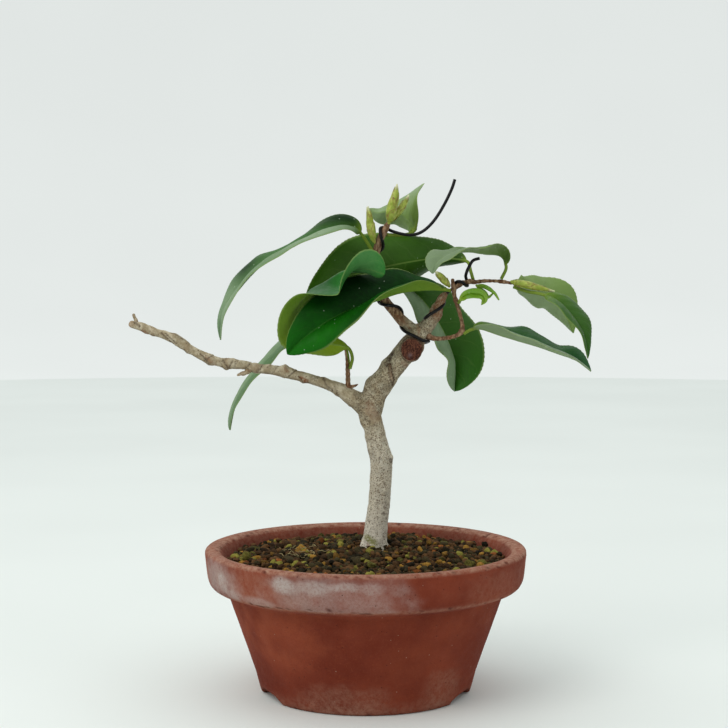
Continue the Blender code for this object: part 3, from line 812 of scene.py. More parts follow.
@dataclass
class Pot:
    """The thrown pot: a turned section with soft corners, wheel lines, chips and foot notches.

    A corner is radius and height. A patch is its turn from the front in degrees, its height, half
    its span in both and its strength. A zone of chips is its span in turn and height, how many
    there are and their least and largest size.
    """

    turns: int = 260
    ring_r: float = 41.0
    band_z: float = 50.6
    wheel_pitch: float = 1.5
    wheel_depth: float = 0.035
    walls_part: tuple = ((0, 45), (9, 47), (50, 62.5), (60, 69), (67.5, 71))
    outside: tuple = (
        (70.8, 67.5), (74.2, 67.5), (75, 66.3), (74.4, 60), (73.65, 53.9), (72.8, 51.6),
        (71.3, 50), (64.5, 47.6), (62, 40), (58.5, 30), (54.9, 20), (51.5, 10), (49.2, 1.2),
        (48.5, 0), (41, 0), (39.5, 3.5), (12.5, 3.5))
    inside: tuple = (
        (12.5, 9), (40, 9), (45, 12.5), (48.8, 20), (56, 40), (60.5, 50), (65.2, 60), (66.6, 64.5),
        (68.4, 66.8))
    notch_turns: tuple = (-66.0, 66.0, 180.0)
    notch_half_width: float = 12.0
    notch_height: float = 4.2
    notch_reach: float = 9.0
    fine: float = 0.75
    coarse: float = 2.2
    chip_zones: tuple = (
        (0, 60, 50.4, 51.4, 16, 0.25, 0.6), (60, 312, 50, 52.2, 30, 0.3, 1),
        (-180, 180, 66, 67.3, 90, 0.25, 0.6), (-180, 180, 0.2, 2, 24, 0.4, 1.1))
    lime: tuple = (
        (-64, 58, 14, 12, 0.42), (-59, 57, 5, 6, 0.66), (-54, 53, 6, 3.5, 0.5),
        (-10, 57, 28, 12, 0.30), (-28, 61, 7, 4.5, 0.66), (-18, 61.5, 9, 4, 0.55),
        (-7, 62.3, 9, 3, 0.6), (2, 61.5, 7, 3.2, 0.45), (10, 60.5, 6, 4, 0.25),
        (-40, 52, 9, 3, 0.35), (128, 58, 16, 12, 0.5), (-140, 60, 20, 8, 0.6))
    dusty: tuple = (
        (-10, 6, 26, 9, 0.3), (42, 10, 14, 10, 0.3), (60, 58, 30, 9, 0.2), (-42, 59, 30, 10, 0.3),
        (82, 60, 8, 12, 0.4), (-160, 20, 40, 20, 0.3), (-85, 58, 12, 12, 0.4))
    warm: tuple = (
        (-45, 38, 30, 18, 0.5), (-40, 59, 9, 6, 0.15), (52, 44, 24, 12, 0.25),
        (20, 26, 14, 10, 0.2), (150, 30, 30, 16, 0.6))
    # Damp blotches; the narrow one at 44 mm, under the band, is painted shadow of the band
    damp_and_shade: tuple = (
        (8, 26, 24, 22, 0.5), (66, 28, 26, 28, 0.9), (60, 58, 26, 12, 0.4), (-15, 44, 24, 5, 0.4),
        (-150, 40, 20, 16, 0.5), (100, 12, 20, 12, 0.5))

    def inner_radius(self, z: float) -> float:
        """The pot's inner radius at a height."""
        radii, heights = zip(*self.inside[1:])
        return float(np.interp(z, heights, radii))

    def section(self) -> Array:
        """The turned section as a closed line, fine where it shows, its corners eased."""
        corners = self.outside + self.inside
        line = []
        for (r0, z0), (r1, z1) in zip(corners, corners[1:] + corners[:1]):
            length = math.hypot(r1 - r0, z1 - z0)
            shows = max(z0, z1) > 55.0 or (min(r0, r1) >= self.ring_r and (r0, z0) in self.outside)
            count = max(1, round(length / (self.fine if shows else self.coarse)))
            for k in range(count):
                line.append((r0 + (r1 - r0) * k / count, z0 + (z1 - z0) * k / count))
        table = np.array(line)
        for _ in range(3):
            table = 0.5 * table + 0.25 * (np.roll(table, 1, axis=0) + np.roll(table, -1, axis=0))
        table[:, 1] -= table[:, 1].min()
        return table

    def notch(self, turn: Array, r: Array) -> Array:
        """How high the arches in the foot stand over each point's turn (in radians)."""
        lift = np.zeros_like(r)
        for middle in self.notch_turns:
            off = (turn - math.radians(middle) + math.pi) % (2 * math.pi) - math.pi
            share = np.clip(np.abs(r * np.sin(off)) / self.notch_half_width, 0.0, 1.0)
            arch = self.notch_height * np.clip(1.0 - share**2.4, 0.0, 1.0) ** 0.6
            lift = np.maximum(lift, np.where(np.cos(off) > 0.5, arch, 0.0))
        return lift

    def chips(self) -> list:
        """Seeded chips: turn (degrees from the front), height, size and depth."""
        rng = random.Random(7)
        found = []
        for k in range(70):
            turn = -50 + 52 * (k / 70) ** 0.9 + rng.uniform(-1, 1)
            level = 51.4 - 0.9 * math.sin(k / 70 * math.pi * 2.4) + rng.uniform(-0.35, 0.35)
            if rng.random() < 0.62:
                found.append((turn, level, rng.uniform(0.22, 0.75), 0.3))
        for low, high, floor_, top, count, small, large in self.chip_zones:
            for _ in range(count):
                found.append((rng.uniform(low, high), rng.uniform(floor_, top),
                              rng.uniform(small, large), 0.28))
        return found

    @staticmethod
    def patches(spots: Rows, points: Array) -> Array:
        """Soft ragged patches on the wall.

        Args:
            spots: the patches.
            points: points of the wall.

        Returns:
            The strongest patch at each point.
        """
        degrees = np.degrees(np.arctan2(points[:, 0], -points[:, 1]))
        ragged = 0.35 * lumps(points, 9.0, 4.1) + 0.2 * lumps(points, 3.0, 8.3)
        best = np.zeros(len(points))
        for turn, height, wide, tall, strength in spots:
            gap = np.hypot((degrees - turn) / wide, (points[:, 2] - height) / tall) + ragged
            best = np.maximum(best, strength * (1 - smoothstep(gap, 0.45, 1.25)))
        return best

    def thrown(self, section: Array) -> Array:
        """The section turned round the axis, with the arches cut into the foot."""
        r, z = (np.repeat(column[:, None], self.turns, axis=1) for column in section.T)
        angle = np.repeat(full_turn(self.turns)[None, :], len(section), axis=0)
        outer = (r > self.ring_r) & (z < 60.0) & (r > np.interp(z, [0, 9, 60], [40, 47, 68]))
        lift = self.notch(angle, r) * (r > 36.0)
        reach = np.where(outer, self.notch_reach, 3.5)
        raised = z + lift * np.clip(1.0 - z / reach, 0.0, 1.0)
        radii, heights = zip(*self.outside[9:14][::-1])
        moved = np.interp(raised, heights, radii) - np.interp(z, heights, radii)
        r = r + np.where(outer & (z < self.notch_reach), moved, 0.0)
        return np.stack((r * np.sin(angle), -r * np.cos(angle), raised), axis=-1).reshape(-1, 3)

    def skin(self) -> Skin:
        """The pot's surface with its bloom, dust and chip values."""
        section = self.section()
        flat = self.thrown(section)
        height = flat[:, 2]
        radial = np.hypot(flat[:, 0], flat[:, 1])
        degrees = np.degrees(np.arctan2(flat[:, 0], -flat[:, 1]))
        push = 0.16 * lumps(flat, 26.0, 1.2) + 0.07 * lumps(flat, 6.0, 2.9)
        wheel = np.sin(2 * math.pi * height / self.wheel_pitch + 2.5 * lumps(flat, 30.0, 5.5))
        push += self.wheel_depth * wheel * (height > 4.0)
        chip = np.zeros(len(flat))
        ragged = 0.45 * lumps(flat, 0.9, 9.7)
        for place, level, size, depth in self.chips():
            off = (degrees - place + 180.0) % 360.0 - 180.0
            near = np.abs(off) < 6.0
            gap = np.hypot(np.radians(off[near]) * radial[near], height[near] - level)
            mark = 1 - smoothstep(gap / size + ragged[near], 0.55, 1.0)
            mark *= radial[near] > 48.0
            push[near] -= depth * mark
            chip[near] = np.maximum(chip[near], mark)
        outward = flat * (1.0, 1.0, 0.0) / radial[:, None]
        inner = radial < np.interp(height, *zip(*self.walls_part))
        points = flat + outward * np.where(inner, -0.4 * push, push)[:, None]
        outer = np.where(inner, 0.0, 1.0)
        lip = smoothstep(height, 65.6, 66.8)
        dust = (0.85 * lip + 0.3 * (1 - smoothstep(height, 1.0, 8.0))
                + (0.5 * bell(height - self.band_z, 1.0)
                   + self.patches(self.dusty, flat)) * outer
                + 0.28 * (1 - outer) * smoothstep(height, 56.0, 64.0))
        bloom = self.patches(self.lime, flat) * outer * (1 - 0.7 * lip)
        faces = grid_faces(len(section) + 1, self.turns, ring=True)
        faces = [tuple(i % len(flat) for i in face) for face in faces]
        # dark: damp blotches with the painted shadow under the band, and a darker inner wall
        return Skin(points, faces, bloom=bloom * smoothstep(height, 50.2, 51.4),
                    dust=np.clip(dust, 0, 1), chip=chip,
                    warm=self.patches(self.warm, flat),
                    dark=self.patches(self.damp_and_shade, flat) + 0.15 * (1 - outer))

    def build(self) -> None:
        """Make the pot."""
        dressed(self.skin(), "thrown_pot", Terracotta().build(), "terracotta", "pot")


# The soil


class Grain(Enum):
    """The kinds of grain in the mix."""

    BROWN = "brown"
    DARK = "dark"
    OCHRE = "ochre"
    OLIVE = "olive"
    ORANGE = "orange"


GRAIN_SHADES = {
    Grain.BROWN: ((100, 71, 43), (32, 22, 13), (112, 86, 56)),
    Grain.DARK: ((66, 57, 36), (22, 18, 12), (84, 80, 52)),
    Grain.OCHRE: ((160, 118, 50), (84, 58, 24), (186, 164, 88)),
    Grain.OLIVE: ((140, 132, 58), (60, 54, 24), (180, 178, 104)),
    Grain.ORANGE: ((150, 88, 42), (84, 44, 22), (172, 120, 70)),
}
GRAIN_LIMITS = ((0.07, Grain.OLIVE), (0.135, Grain.OCHRE), (0.16, Grain.ORANGE), (0.44, Grain.DARK))


@dataclass
class Soil:
    """A crumbly mound of fired clay grains, a few of them mossy, with loose rootlets.

    A layer is a count of grains, their least and largest radius, and how low and high they lie.
    """

    pot: Pot
    trunk: tuple
    foot: float = 11.0
    edge: float = 61.6
    crest: float = 65.2
    at: tuple[float, float] = (3.0, 8.0)
    reach: float = 62.0
    bed_r: float = 64.2
    bed_drop: float = 1.2
    scatter_r: float = 65.0
    tries: int = 14
    crowding: float = 0.74
    square: float = 4.0
    layers: tuple = ((1500, 1.0, 1.8, -0.9, 0.3), (1350, 0.8, 2.0, 0.2, 1.4))
    big: tuple = (
        (-56, -7, 2.9, "olive"), (-50.5, -3, 2.3, "ochre"), (-47, -14, 2, "ochre"),
        (-40, -22, 2.3, "olive"), (-35, -14, 2.2, "dark"), (2, -51, 2.3, "olive"),
        (5.5, -49, 1.8, "ochre"), (47, -24, 2.5, "olive"), (53, -19, 2.4, "olive"),
        (-18, -46, 1.9, "orange"), (22, -38, 2.1, "orange"), (33, -20, 2.2, "ochre"),
        (2, -4, 2.1, "olive"), (-12, 26, 2.4, "olive"), (26, 24, 2.3, "olive"),
        (38, 12, 2.2, "brown"), (-30, 30, 2.2, "dark"), (48, 14, 2, "ochre"))

    def height(self, x: float, y: float) -> float:
        """Height of the soil's top, in millimetres."""
        away = min(1.0, math.hypot(x - self.at[0], y - self.at[1]) / self.reach)
        mound = self.edge + (self.crest - self.edge) * math.cos(away * math.pi / 2) ** 1.5
        spot = Vector((x / 4.6, y / 4.6, 3.7))
        return mound + 1.3 * (noise.noise(spot) + 0.5 * noise.noise(spot * 2.1))

    def bed(self) -> Skin:
        """The packed soil under the loose grains."""
        rings, spokes = 60, 140
        turn = full_turn(spokes)
        circle = np.stack((np.cos(turn), np.sin(turn)), axis=-1)
        middle = np.array(self.at)
        points = [(*self.at, self.height(*self.at) - self.bed_drop)]
        for share in np.arange(1, rings + 1) / rings:
            for x, y in middle + (self.bed_r * circle - middle) * share:
                points.append((x, y, self.height(x, y) - self.bed_drop))
        levels = ((63.0, 58.5), (55.6, 42.0), (48.0, 20.5), (38.0, self.foot))
        for radius, level in levels:
            points.extend((radius * x, radius * y, level) for x, y in circle)
        points.append((0.0, 0.0, self.foot))
        faces = grid_faces(rings + len(levels), spokes, 1, flip=True, ring=True)
        last = len(points) - 1
        for k in range(spokes):
            nxt = (k + 1) % spokes
            faces.append((0, 1 + k, 1 + nxt))
            faces.append((last, last - spokes + nxt, last - spokes + k))
        return Skin(np.array(points), faces, shade=np.full(len(points), 0.2))

    @staticmethod
    def pebbles(level: int, count: int, rough: float, seed: int) -> tuple[list, list]:
        """Lumpy grains of about one radius.

        Args:
            level: how finely each is divided.
            count: how many different ones.
            rough: how lumpy they are.
            seed: shifts the shapes.

        Returns:
            The points of each grain, and the faces that all share.
        """
        bm = bmesh.new()
        bmesh.ops.create_icosphere(bm, subdivisions=level, radius=1.0)
        ball = np.array([vert.co[:] for vert in bm.verts])
        faces = [tuple(vert.index for vert in face.verts) for face in bm.faces]
        bm.free()
        shapes = []
        rng = np.random.default_rng(seed)
        for k in range(count):
            swell = 1 + rough * lumps(ball, 1.1, seed + 3.1 * k)
            swell += 0.6 * rough * lumps(ball, 0.45, seed + 7.7 * k)
            shape = ball * swell[:, None]
            for facet in unit(rng.normal(size=(7, 3))):
                over = np.clip(shape @ facet - rng.uniform(0.58, 0.85), 0.0, None)
                shape = shape - 0.85 * over[:, None] * facet
            shapes.append(shape * 1.12)
        return shapes, faces

    def clear(self, x: float, y: float, z: float, size: float) -> bool:
        """Whether a grain there is inside the pot and outside the trunk."""
        if math.hypot(x, y) + size > self.pot.inner_radius(z) - 0.15:
            return False
        stock = min(self.trunk, key=lambda row: abs(row[2] - z))
        return math.hypot(x - stock[0], y - stock[1]) > stock[3] + 0.55 * size

    @staticmethod
    def pick(x: float, y: float, upper: bool, rng: random.Random) -> Grain:
        """Choose the kind of grain for a place: mossy ones gather in patches."""
        mossy = noise.noise(Vector((x / 13.0, y / 13.0, 1.9)))
        draw = rng.random() - (0.16 * mossy if upper else 0.0)
        return next((kind for limit, kind in GRAIN_LIMITS if draw < limit), Grain.BROWN)

    def cell(self, layer: int, x: float, y: float) -> tuple[int, int, int]:
        """The square of a layer that a grain lies in."""
        return layer, int(x // self.square), int(y // self.square)

    def grains(self) -> dict[Grain, list]:
        """All grains, by kind, each as its skin."""
        rng = random.Random(4795)
        fine, fine_faces = self.pebbles(2, 16, 0.42, 11)
        crumbs, crumb_faces = self.pebbles(3, 8, 0.52, 53)
        found: dict[Grain, list] = {kind: [] for kind in Grain}
        taken: dict[tuple[int, int, int], list] = {}
        for x, y, size, kind in self.big:
            place = (x, y, self.height(x, y) + 0.2 * size)
            taken.setdefault(self.cell(1, x, y), []).append((*place, size))
            found[Grain(kind)].append(self.grain(rng.choice(crumbs), crumb_faces, place, size, rng))
        for layer, (count, small, large, low, high) in enumerate(self.layers):
            made, tries = 0, 0
            while made < count and tries < count * self.tries:
                tries += 1
                away = self.scatter_r * math.sqrt(rng.random())
                turn = rng.uniform(0, 2 * math.pi)
                x, y = away * math.cos(turn), away * math.sin(turn)
                kind = self.pick(x, y, layer == 1, rng)
                plain = kind in (Grain.BROWN, Grain.DARK)
                size = rng.uniform(small, large) * (1.0 if plain else 1.15)
                z = self.height(x, y) + rng.uniform(low, high) - 0.5 * size + 0.4
                cell = self.cell(layer, x, y)
                near = [spot for i in (-1, 0, 1) for j in (-1, 0, 1)
                        for spot in taken.get((layer, cell[1] + i, cell[2] + j), [])]
                crowded = any(math.dist(spot[:3], (x, y, z)) < self.crowding * (spot[3] + size)
                              for spot in near)
                if crowded or not self.clear(x, y, z, size):
                    continue
                taken.setdefault(cell, []).append((x, y, z, size))
                lumpy = kind in (Grain.OCHRE, Grain.OLIVE) and layer == 1
                shapes, faces = (crumbs, crumb_faces) if lumpy else (fine, fine_faces)
                found[kind].append(self.grain(rng.choice(shapes), faces, (x, y, z), size, rng))
                made += 1
        return found

    @staticmethod
    def grain(shape: Array, faces: list, place: tuple, size: float, rng: random.Random) -> Skin:
        """One grain, turned and stretched at random.

        Args:
            shape: points of the grain at a radius of about one.
            faces: its faces.
            place: its middle.
            size: its radius.
            rng: the source of chance.

        Returns:
            The grain with its own shade.
        """
        axes = np.array([rng.uniform(0.8, 1.2), rng.uniform(0.8, 1.2), rng.uniform(0.65, 1.0)])
        spin, lean = rng.uniform(0, 2 * math.pi), rng.uniform(-0.7, 0.7)
        c, s, cl, sl = math.cos(spin), math.sin(spin), math.cos(lean), math.sin(lean)
        turned = np.array([[c, -s * cl, s * sl], [s, c * cl, -c * sl], [0, sl, cl]])
        body = (shape * axes * size) @ turned.T + np.array(place)
        return Skin(body, faces, shade=np.full(len(body), rng.random()))

    def rootlets(self) -> Skin:
        """Pale straw and loose roots lying on the left of the mound."""
        rng = random.Random(21)
        strands = []
        for _ in range(15):
            x, y = rng.uniform(-42, -22), rng.uniform(-14, 14)
            heading = rng.uniform(-0.7, 0.9)
            rows = []
            for _ in range(6):
                z = self.height(x, y) + rng.uniform(0.9, 2.6)
                rows.append((x, y, z, rng.uniform(0.1, 0.2)))
                heading += rng.uniform(-1.1, 1.1)
                x += 1.7 * math.cos(heading)
                y += 1.7 * math.sin(heading)
            strands.append(swept(evenly(rows, 24), 8))
        skin = Skin.merged(strands)
        skin.values["shade"] = np.full(len(skin.points), 0.6)
        return skin

    def build(self) -> None:
        """Make the soil bed, its grains and its rootlets."""
        bed = Grit("soil_bed", tint(52, 36, 25), tint(22, 15, 10), tint(66, 48, 34))
        dressed(self.bed(), "soil_bed", bed.build(), "akadama", "soil")
        for kind, skins in self.grains().items():
            grit = Grit(f"grain_{kind.value}", *(tint(*shade) for shade in GRAIN_SHADES[kind]))
            dressed(Skin.merged(skins), f"soil_grains_{kind.value}", grit.build(), "akadama")
        straw = Grit("straw", tint(176, 160, 116), tint(112, 92, 60), tint(198, 186, 146))
        dressed(self.rootlets(), "soil_rootlets", straw.build(), "akadama")


# The wood


class Bole(Enum):
    """The main lengths of the wood, each with its own look."""

    TRUNK = 0
    LEADER = 1
    STUB = 2
    TOP_TWIG = 3
    LEFT_BRANCH = 4


class Stain(Enum):
    """What a mark on the bark is made of; the groove colour also paints shade."""

    GROOVE = "groove"
    RUST = "rust"
    PALE = "pale"
    MOSS = "moss"


@dataclass
class Wood:
    """Trunk, branches and twigs grown as one, with bark relief, callus, grooves and marks.

    Rows of the wood are x, y, z and radius. A hump is x, z, reach and height. A mark is half its
    width, its strength and depth, and its line in x and z on the front of the bark.
    """

    trunk: tuple = (
        (3.5, 11.5, 42, 5.6), (3.5, 11.5, 47, 7), (3.8, 11, 55, 7.2), (4, 11, 61, 6.5),
        (4.2, 10.5, 66, 5.9), (5, 10, 76, 5.4), (6.5, 9.5, 88, 5.2), (7, 9, 98.5, 5.2),
        (7.5, 8.5, 106, 5.3), (6, 8, 112.5, 5.1), (4, 7, 121.5, 4.8), (2.2, 6.5, 127, 5.2),
        (1.8, 6, 131.5, 5.6))
    leader: tuple = (
        (2.4, 6, 126.5, 4.6), (2.8, 6, 133.5, 5.6), (4.5, 5.5, 139, 5.6), (9.5, 5, 146.5, 5.4),
        (15, 4.5, 154, 5.2), (19.5, 4.5, 159.5, 5.4), (23, 4, 164, 4.9), (25, 4, 168, 4))
    stub: tuple = (
        (23.5, 4, 165.5, 4.2), (26, 4, 168, 3.8), (29.5, 3.5, 171.5, 3.4), (32, 3, 175.5, 3),
        (33.5, 2, 179.5, 2.9), (35, 1.5, 183, 2.2), (36.8, 1, 185, 1.5))
    top_twig: tuple = (
        (24, 4, 167, 3.5), (21, 5, 169.5, 2.9), (17, 6, 173, 2.6), (13, 7, 177.5, 2.3),
        (9, 8, 182.5, 2.2), (6, 9.5, 189, 2), (4.8, 9.5, 196.5, 1.9), (4.8, 9, 204, 1.9),
        (6.5, 8, 210.5, 1.8), (9, 8, 215.5, 1.6), (10.3, 8, 217.8, 1.3))
    left_branch: tuple = (
        (2, 6, 131, 4.9), (-2, 5.5, 134, 4.6), (-6.5, 5, 137, 4), (-11.5, 4.5, 140.5, 3.3),
        (-17.5, 3.5, 143, 2.6), (-24.5, 3, 145.5, 2.3), (-30.5, 2.5, 147, 2.4), (-37, 2, 149, 2.7),
        (-43.5, 1.5, 150, 2.2), (-51, 1, 151, 2.3), (-57, 0.5, 152.5, 2.1), (-62.5, 0, 153, 2.4),
        (-68.5, -0.5, 154, 2.1), (-74, -1, 156, 2.3), (-80, -1.5, 159, 2), (-86, -2, 163, 2.4),
        (-91.5, -2.5, 166, 2.1), (-98, -3, 168, 1.8), (-104, -3.5, 170.5, 2.1),
        (-108, -4, 171.6, 1.7))
    thin: tuple = (
        [(-52.5, 0.8, 151, 1.6), (-56.5, 0, 148.6, 1.1), (-58, -0.3, 148.4, 0.9),
         (-59.5, -0.5, 147.8, 0.5)],
        [(-106, -3.5, 171, 1.4), (-106.3, -3.5, 173.5, 0.8), (-107, -3.5, 174.9, 0.75),
         (-107.3, -3.5, 176, 0.6)],
        [(-8.2, 4.5, 138.5, 1.9), (-8.2, 4, 141, 1.35), (-8.3, 4, 146, 1.1), (-8.4, 3.5, 150, 1.05),
         (-8.9, 3.2, 155, 0.6), (-9.9, 2.4, 161, 0.35)],
        [(-10.6, 4, 141.7, 0.4), (-8.2, 3.2, 142, 0.8), (-5.4, 3.6, 142.5, 0.7),
         (-3.9, 3.6, 143.1, 0.3)],
        [(28, 3.5, 166.4, 2), (31, 3, 165, 1.3), (34, 2.6, 164.7, 1), (37.5, 2, 165, 0.95),
         (40.5, 1.6, 165.6, 0.9), (43.2, 1.2, 166.8, 1.05), (44.6, 1, 168.2, 1.45),
         (44.9, 1, 169.8, 1.1), (44.6, 1, 172.5, 0.85), (43.6, 1, 176.5, 0.9),
         (42.4, 1, 180.5, 0.95), (41.8, 1, 182.6, 1.15), (41.2, 1, 184.6, 0.9),
         (40.8, 1, 188, 1.2), (40.5, 1, 190, 1), (40.3, 1, 191.9, 0.8)],
        [(40.5, 1, 188, 0.9), (42.5, 1.5, 189, 1.1), (44.5, 1.5, 190.5, 1.3),
         (46.3, 1.8, 190.8, 1), (48.5, 2, 191.3, 1.25), (50.5, 2, 191, 1),
         (55, 2, 191.5, 0.85), (60.5, 2, 191.5, 0.75), (63.5, 1.5, 191.2, 1),
         (65.5, 1.5, 190.9, 0.75), (67.5, 1.5, 190.5, 0.7)],
    )
    roots: tuple = (
        [(3.5, 11.5, 53, 3.4), (-7, 8, 50, 2.2), (-18, 4, 46, 1)],
        [(3.5, 11.5, 52, 3.2), (15, 6, 48, 2), (24, 0, 44, 0.9)],
        [(3.5, 11.5, 50, 3.2), (6, 22, 47, 2), (4, 31, 42, 0.9)],
    )
    flares: tuple = (-155.0, -98.0, -35.0, 25.0, 88.0, 140.0)
    flare: tuple = (
        (2.4, 10.8, 73, 2.2), (4, 11, 68.5, 2.3), (5.6, 11, 65.2, 2), (8.2, 11, 62.2, 1.6),
        (11, 11, 59.5, 0.9))
    scar_at: tuple = (21.2, -0.3, 159.6)
    scar_wide: float = 4.8
    scar_tall: float = 5.0
    voxel: float = 0.38
    humps: tuple = (
        (1.6, 144.2, 5, 1.3), (0.6, 138, 2.4, -0.8), (8.6, 153.4, 3.4, 0.8), (11.4, 146.8, 2, 0.5),
        (-4.5, 135.8, 2.2, 0.6), (14, 147.5, 3, -0.5), (36.6, 174.4, 2.6, 1.3),
        (31.5, 182.5, 3, -0.6), (36, 179.5, 2.6, -0.5), (-37.6, 151.6, 2, 0.7),
        (-28.6, 144.6, 2.2, 0.7), (-19, 147.2, 2.4, 0.5), (-14, 137.6, 2, 0.5), (-65, 151, 2, 0.9),
        (-72.6, 153.2, 2, 0.8), (-83.6, 157.6, 1.8, 0.8), (-88.6, 166.2, 2.4, 0.6),
        (-102.2, 166.4, 2.2, 0.8), (-61.5, 156, 1.8, 0.6), (-45, 152.4, 2, 0.4),
        (13.2, 108.6, 2.2, 0.5), (11.8, 104.6, 1.6, -0.5), (1.2, 118, 2.6, 0.6))
    marks: dict = field(default_factory=lambda: {
        Stain.GROOVE: (
            (0.95, 0.95, 0.7, ((12.2, 158.4), (11.2, 156.2), (10.2, 153.1), (10, 152.2))),
            (0.55, 0.95, 0.5,
             ((11.4, 153), (11.8, 150.4), (12.7, 147.7), (13.4, 145.5), (12.6, 143))),
            (0.4, 0.7, 0.35, ((10.3, 152.2), (11, 148.6), (11.2, 145.9), (12.5, 143.7))),
            (0.9, 0.8, 0.5, ((11.6, 107.4), (12.2, 106.4))),
            (0.9, 0.5, 0.2, ((1, 111.2), (1.4, 110.6))),
            (0.8, 0.7, 0.4, ((8, 82), (8.6, 81.4))),
            (0.4, 0.9, 0.4, ((-94.4, 167.6), (-89, 162.2))),
            (0.35, 0.8, 0.3, ((-92.4, 167.4), (-87.6, 162.6))),
            (0.8, 0.8, 0.3, ((-84.8, 159.4), (-82, 157.6))),
            (0.5, 0.85, 0.4, ((-76.4, 157.8), (-71.8, 152.4))),
            (0.45, 0.8, 0.35, ((-66.2, 155), (-63.6, 151), (-61.8, 154.4))),
            (0.35, 0.9, 0.3, ((-31.4, 147.2), (-28.8, 144.2), (-26.6, 144.2))),
            (0.4, 0.7, 0.35, ((-19.9, 146.4), (-18, 142.5), (-15.3, 140.2))),
            (0.4, 0.7, 0.3, ((-14.6, 142.4), (-12.6, 137))),
            (0.7, 0.9, 0.5, ((-106.4, 172.6), (-104.4, 170.8))),
        ),
        Stain.RUST: (
            (0.9, 0.5, 0, ((10.9, 152.6), (11.4, 149), (12, 146))),
            (2, 0.45, 0, ((1.6, 134.5), (4.3, 129.5))),
            (1.4, 0.45, 0, ((17.5, 153.5), (18.6, 152.4))),
            (0.9, 0.6, 0, ((0.8, 67.4), (1.6, 66.6))),
            (1, 0.5, 0, ((-73.8, 156.5), (-70.3, 153))),
            (0.9, 1, 0, ((-30.4, 146.6), (-27.4, 145))),
            (0.9, 0.6, 0, ((-37.6, 150.8), (-36.5, 149.5))),
            (0.9, 0.9, 0, ((-103, 168.4), (-101.2, 167.4))),
            (0.8, 0.5, 0, ((14, 175.8), (20.6, 169.6))),
        ),
        Stain.PALE: ((0.4, 1, 0, ((8, 112.1), (8.4, 110.2), (6.6, 108.3), (7, 106.4))),),
        Stain.MOSS: ((1.8, 0.9, 0, ((0.8, 70.4), (4.2, 68.2))),),
    })
    tan_line: tuple = ((2.0, 131.0), (4.5, 127.5))
    node_bands: tuple = (-82.6, -71.4, -64.0, -38.0, -29.6, -98.5, -51.0)

    def boles(self) -> dict[Bole, Array]:
        """Fine rows along each main length."""
        rows = (self.trunk, self.leader, self.stub, self.top_twig, self.left_branch)
        counts = (150, 90, 50, 120, 240)
        return {bole: evenly(table, count) for bole, table, count in zip(Bole, rows, counts)}

    def callus(self) -> list:
        """The swollen ring round the old cut, and the sunken face inside it."""
        turn = np.linspace(0, 2 * math.pi, 73)
        x, y, z = self.scar_at
        wave = 0.25 * np.sin(3 * turn + 0.8) + 0.15 * np.sin(5 * turn)
        ring = np.stack((x + (self.scar_wide + wave) * np.cos(turn), y + 0.35 + 0.3 * np.cos(turn),
                         z + (self.scar_tall + wave) * np.sin(turn), 1.05 + 0.2 * np.sin(2 * turn)),
                        axis=-1)
        face = np.array([(x, y + 4.0, z, 3.6), (x, y + 2.0, z, 3.9), (x, y + 0.75, z, 3.7)])
        lump = np.array([(x - 0.9, y + 1.5, z - 2.4, 1.0), (x - 0.9, y + 0.4, z - 2.3, 1.1)])
        return [swept(ring, 16), swept(face, 32, blunt=True), swept(lump, 16)]

    def foot_roots(self) -> list:
        """Short surface roots that flare out of the stock into the soil."""
        found = []
        for k, degrees in enumerate(self.flares):
            c, s = math.cos(math.radians(degrees)), math.sin(math.radians(degrees))
            drop = 0.6 * (k % 3)
            rows = [(4.0 + away * c, y + away * s, z - drop, radius)
                    for away, y, z, radius in self.flare]
            found.append(swept(evenly(rows, 24), 16))
        return found

    def grown(self) -> tuple[Array, Array, list]:
        """The main lengths fused into one surface: its points, normals and faces."""
        skins = [swept(rows, 40) for rows in self.boles().values()]
        skins += [swept(evenly(rows, 24), 16) for rows in self.roots]
        skins += self.foot_roots() + self.callus()
        body = Skin.merged(skins).to_object("grown")
        fuse = body.modifiers.new("fuse", "REMESH")
        fuse.mode = "VOXEL"
        fuse.voxel_size = self.voxel * MM
        ease = body.modifiers.new("ease", "SMOOTH")
        ease.factor = 0.5
        ease.iterations = 4
        graph = bpy.context.evaluated_depsgraph_get()
        mesh = bpy.data.meshes.new_from_object(body.evaluated_get(graph))
        bpy.data.objects.remove(body, do_unlink=True)
        points, normals = np.empty(len(mesh.vertices) * 3), np.empty(len(mesh.vertices) * 3)
        mesh.vertices.foreach_get("co", points)
        mesh.vertex_normals.foreach_get("vector", normals)
        faces = [tuple(face.vertices) for face in mesh.polygons]
        bpy.data.meshes.remove(mesh)
        return points.reshape(-1, 3) / MM - AXIS, normals.reshape(-1, 3), faces

    @staticmethod
    def line_distance(x: Array, z: Array, line: tuple) -> Array:
        """Distance of points from a bent line in the plane seen from the front."""
        best = np.full(len(x), 1e9)
        for (x0, z0), (x1, z1) in zip(line, line[1:]):
            dx, dz = x1 - x0, z1 - z0
            share = np.clip(((x - x0) * dx + (z - z0) * dz) / (dx * dx + dz * dz), 0, 1)
            best = np.minimum(best, np.hypot(x - x0 - share * dx, z - z0 - share * dz))
        return best

    def located(self, points: Array) -> tuple:
        """Where points lie on the main lengths.

        Args:
            points: points of the fused wood.

        Returns:
            For each point the length it is on, how far along it, the turn from the front and the
            nearest row of that length.
        """
        boles = self.boles()
        rows = np.concatenate(list(boles.values()))
        owner = np.concatenate([np.full(len(line), bole.value) for bole, line in boles.items()])
        along = np.concatenate([run_length(line) for line in boles.values()])
        run = np.concatenate([unit(np.gradient(line[:, :3], axis=0)) for line in boles.values()])
        tree = kdtree.KDTree(len(rows))
        for i, row in enumerate(rows):
            tree.insert(row[:3], i)
        tree.balance()
        near = np.array([tree.find(point)[1] for point in points])
        out, across = facing_frame(run[near])
        off = points - rows[near, :3]
        turn = np.arctan2((off * across).sum(1), (off * out).sum(1))
        return owner[near], along[near], turn, rows[near]

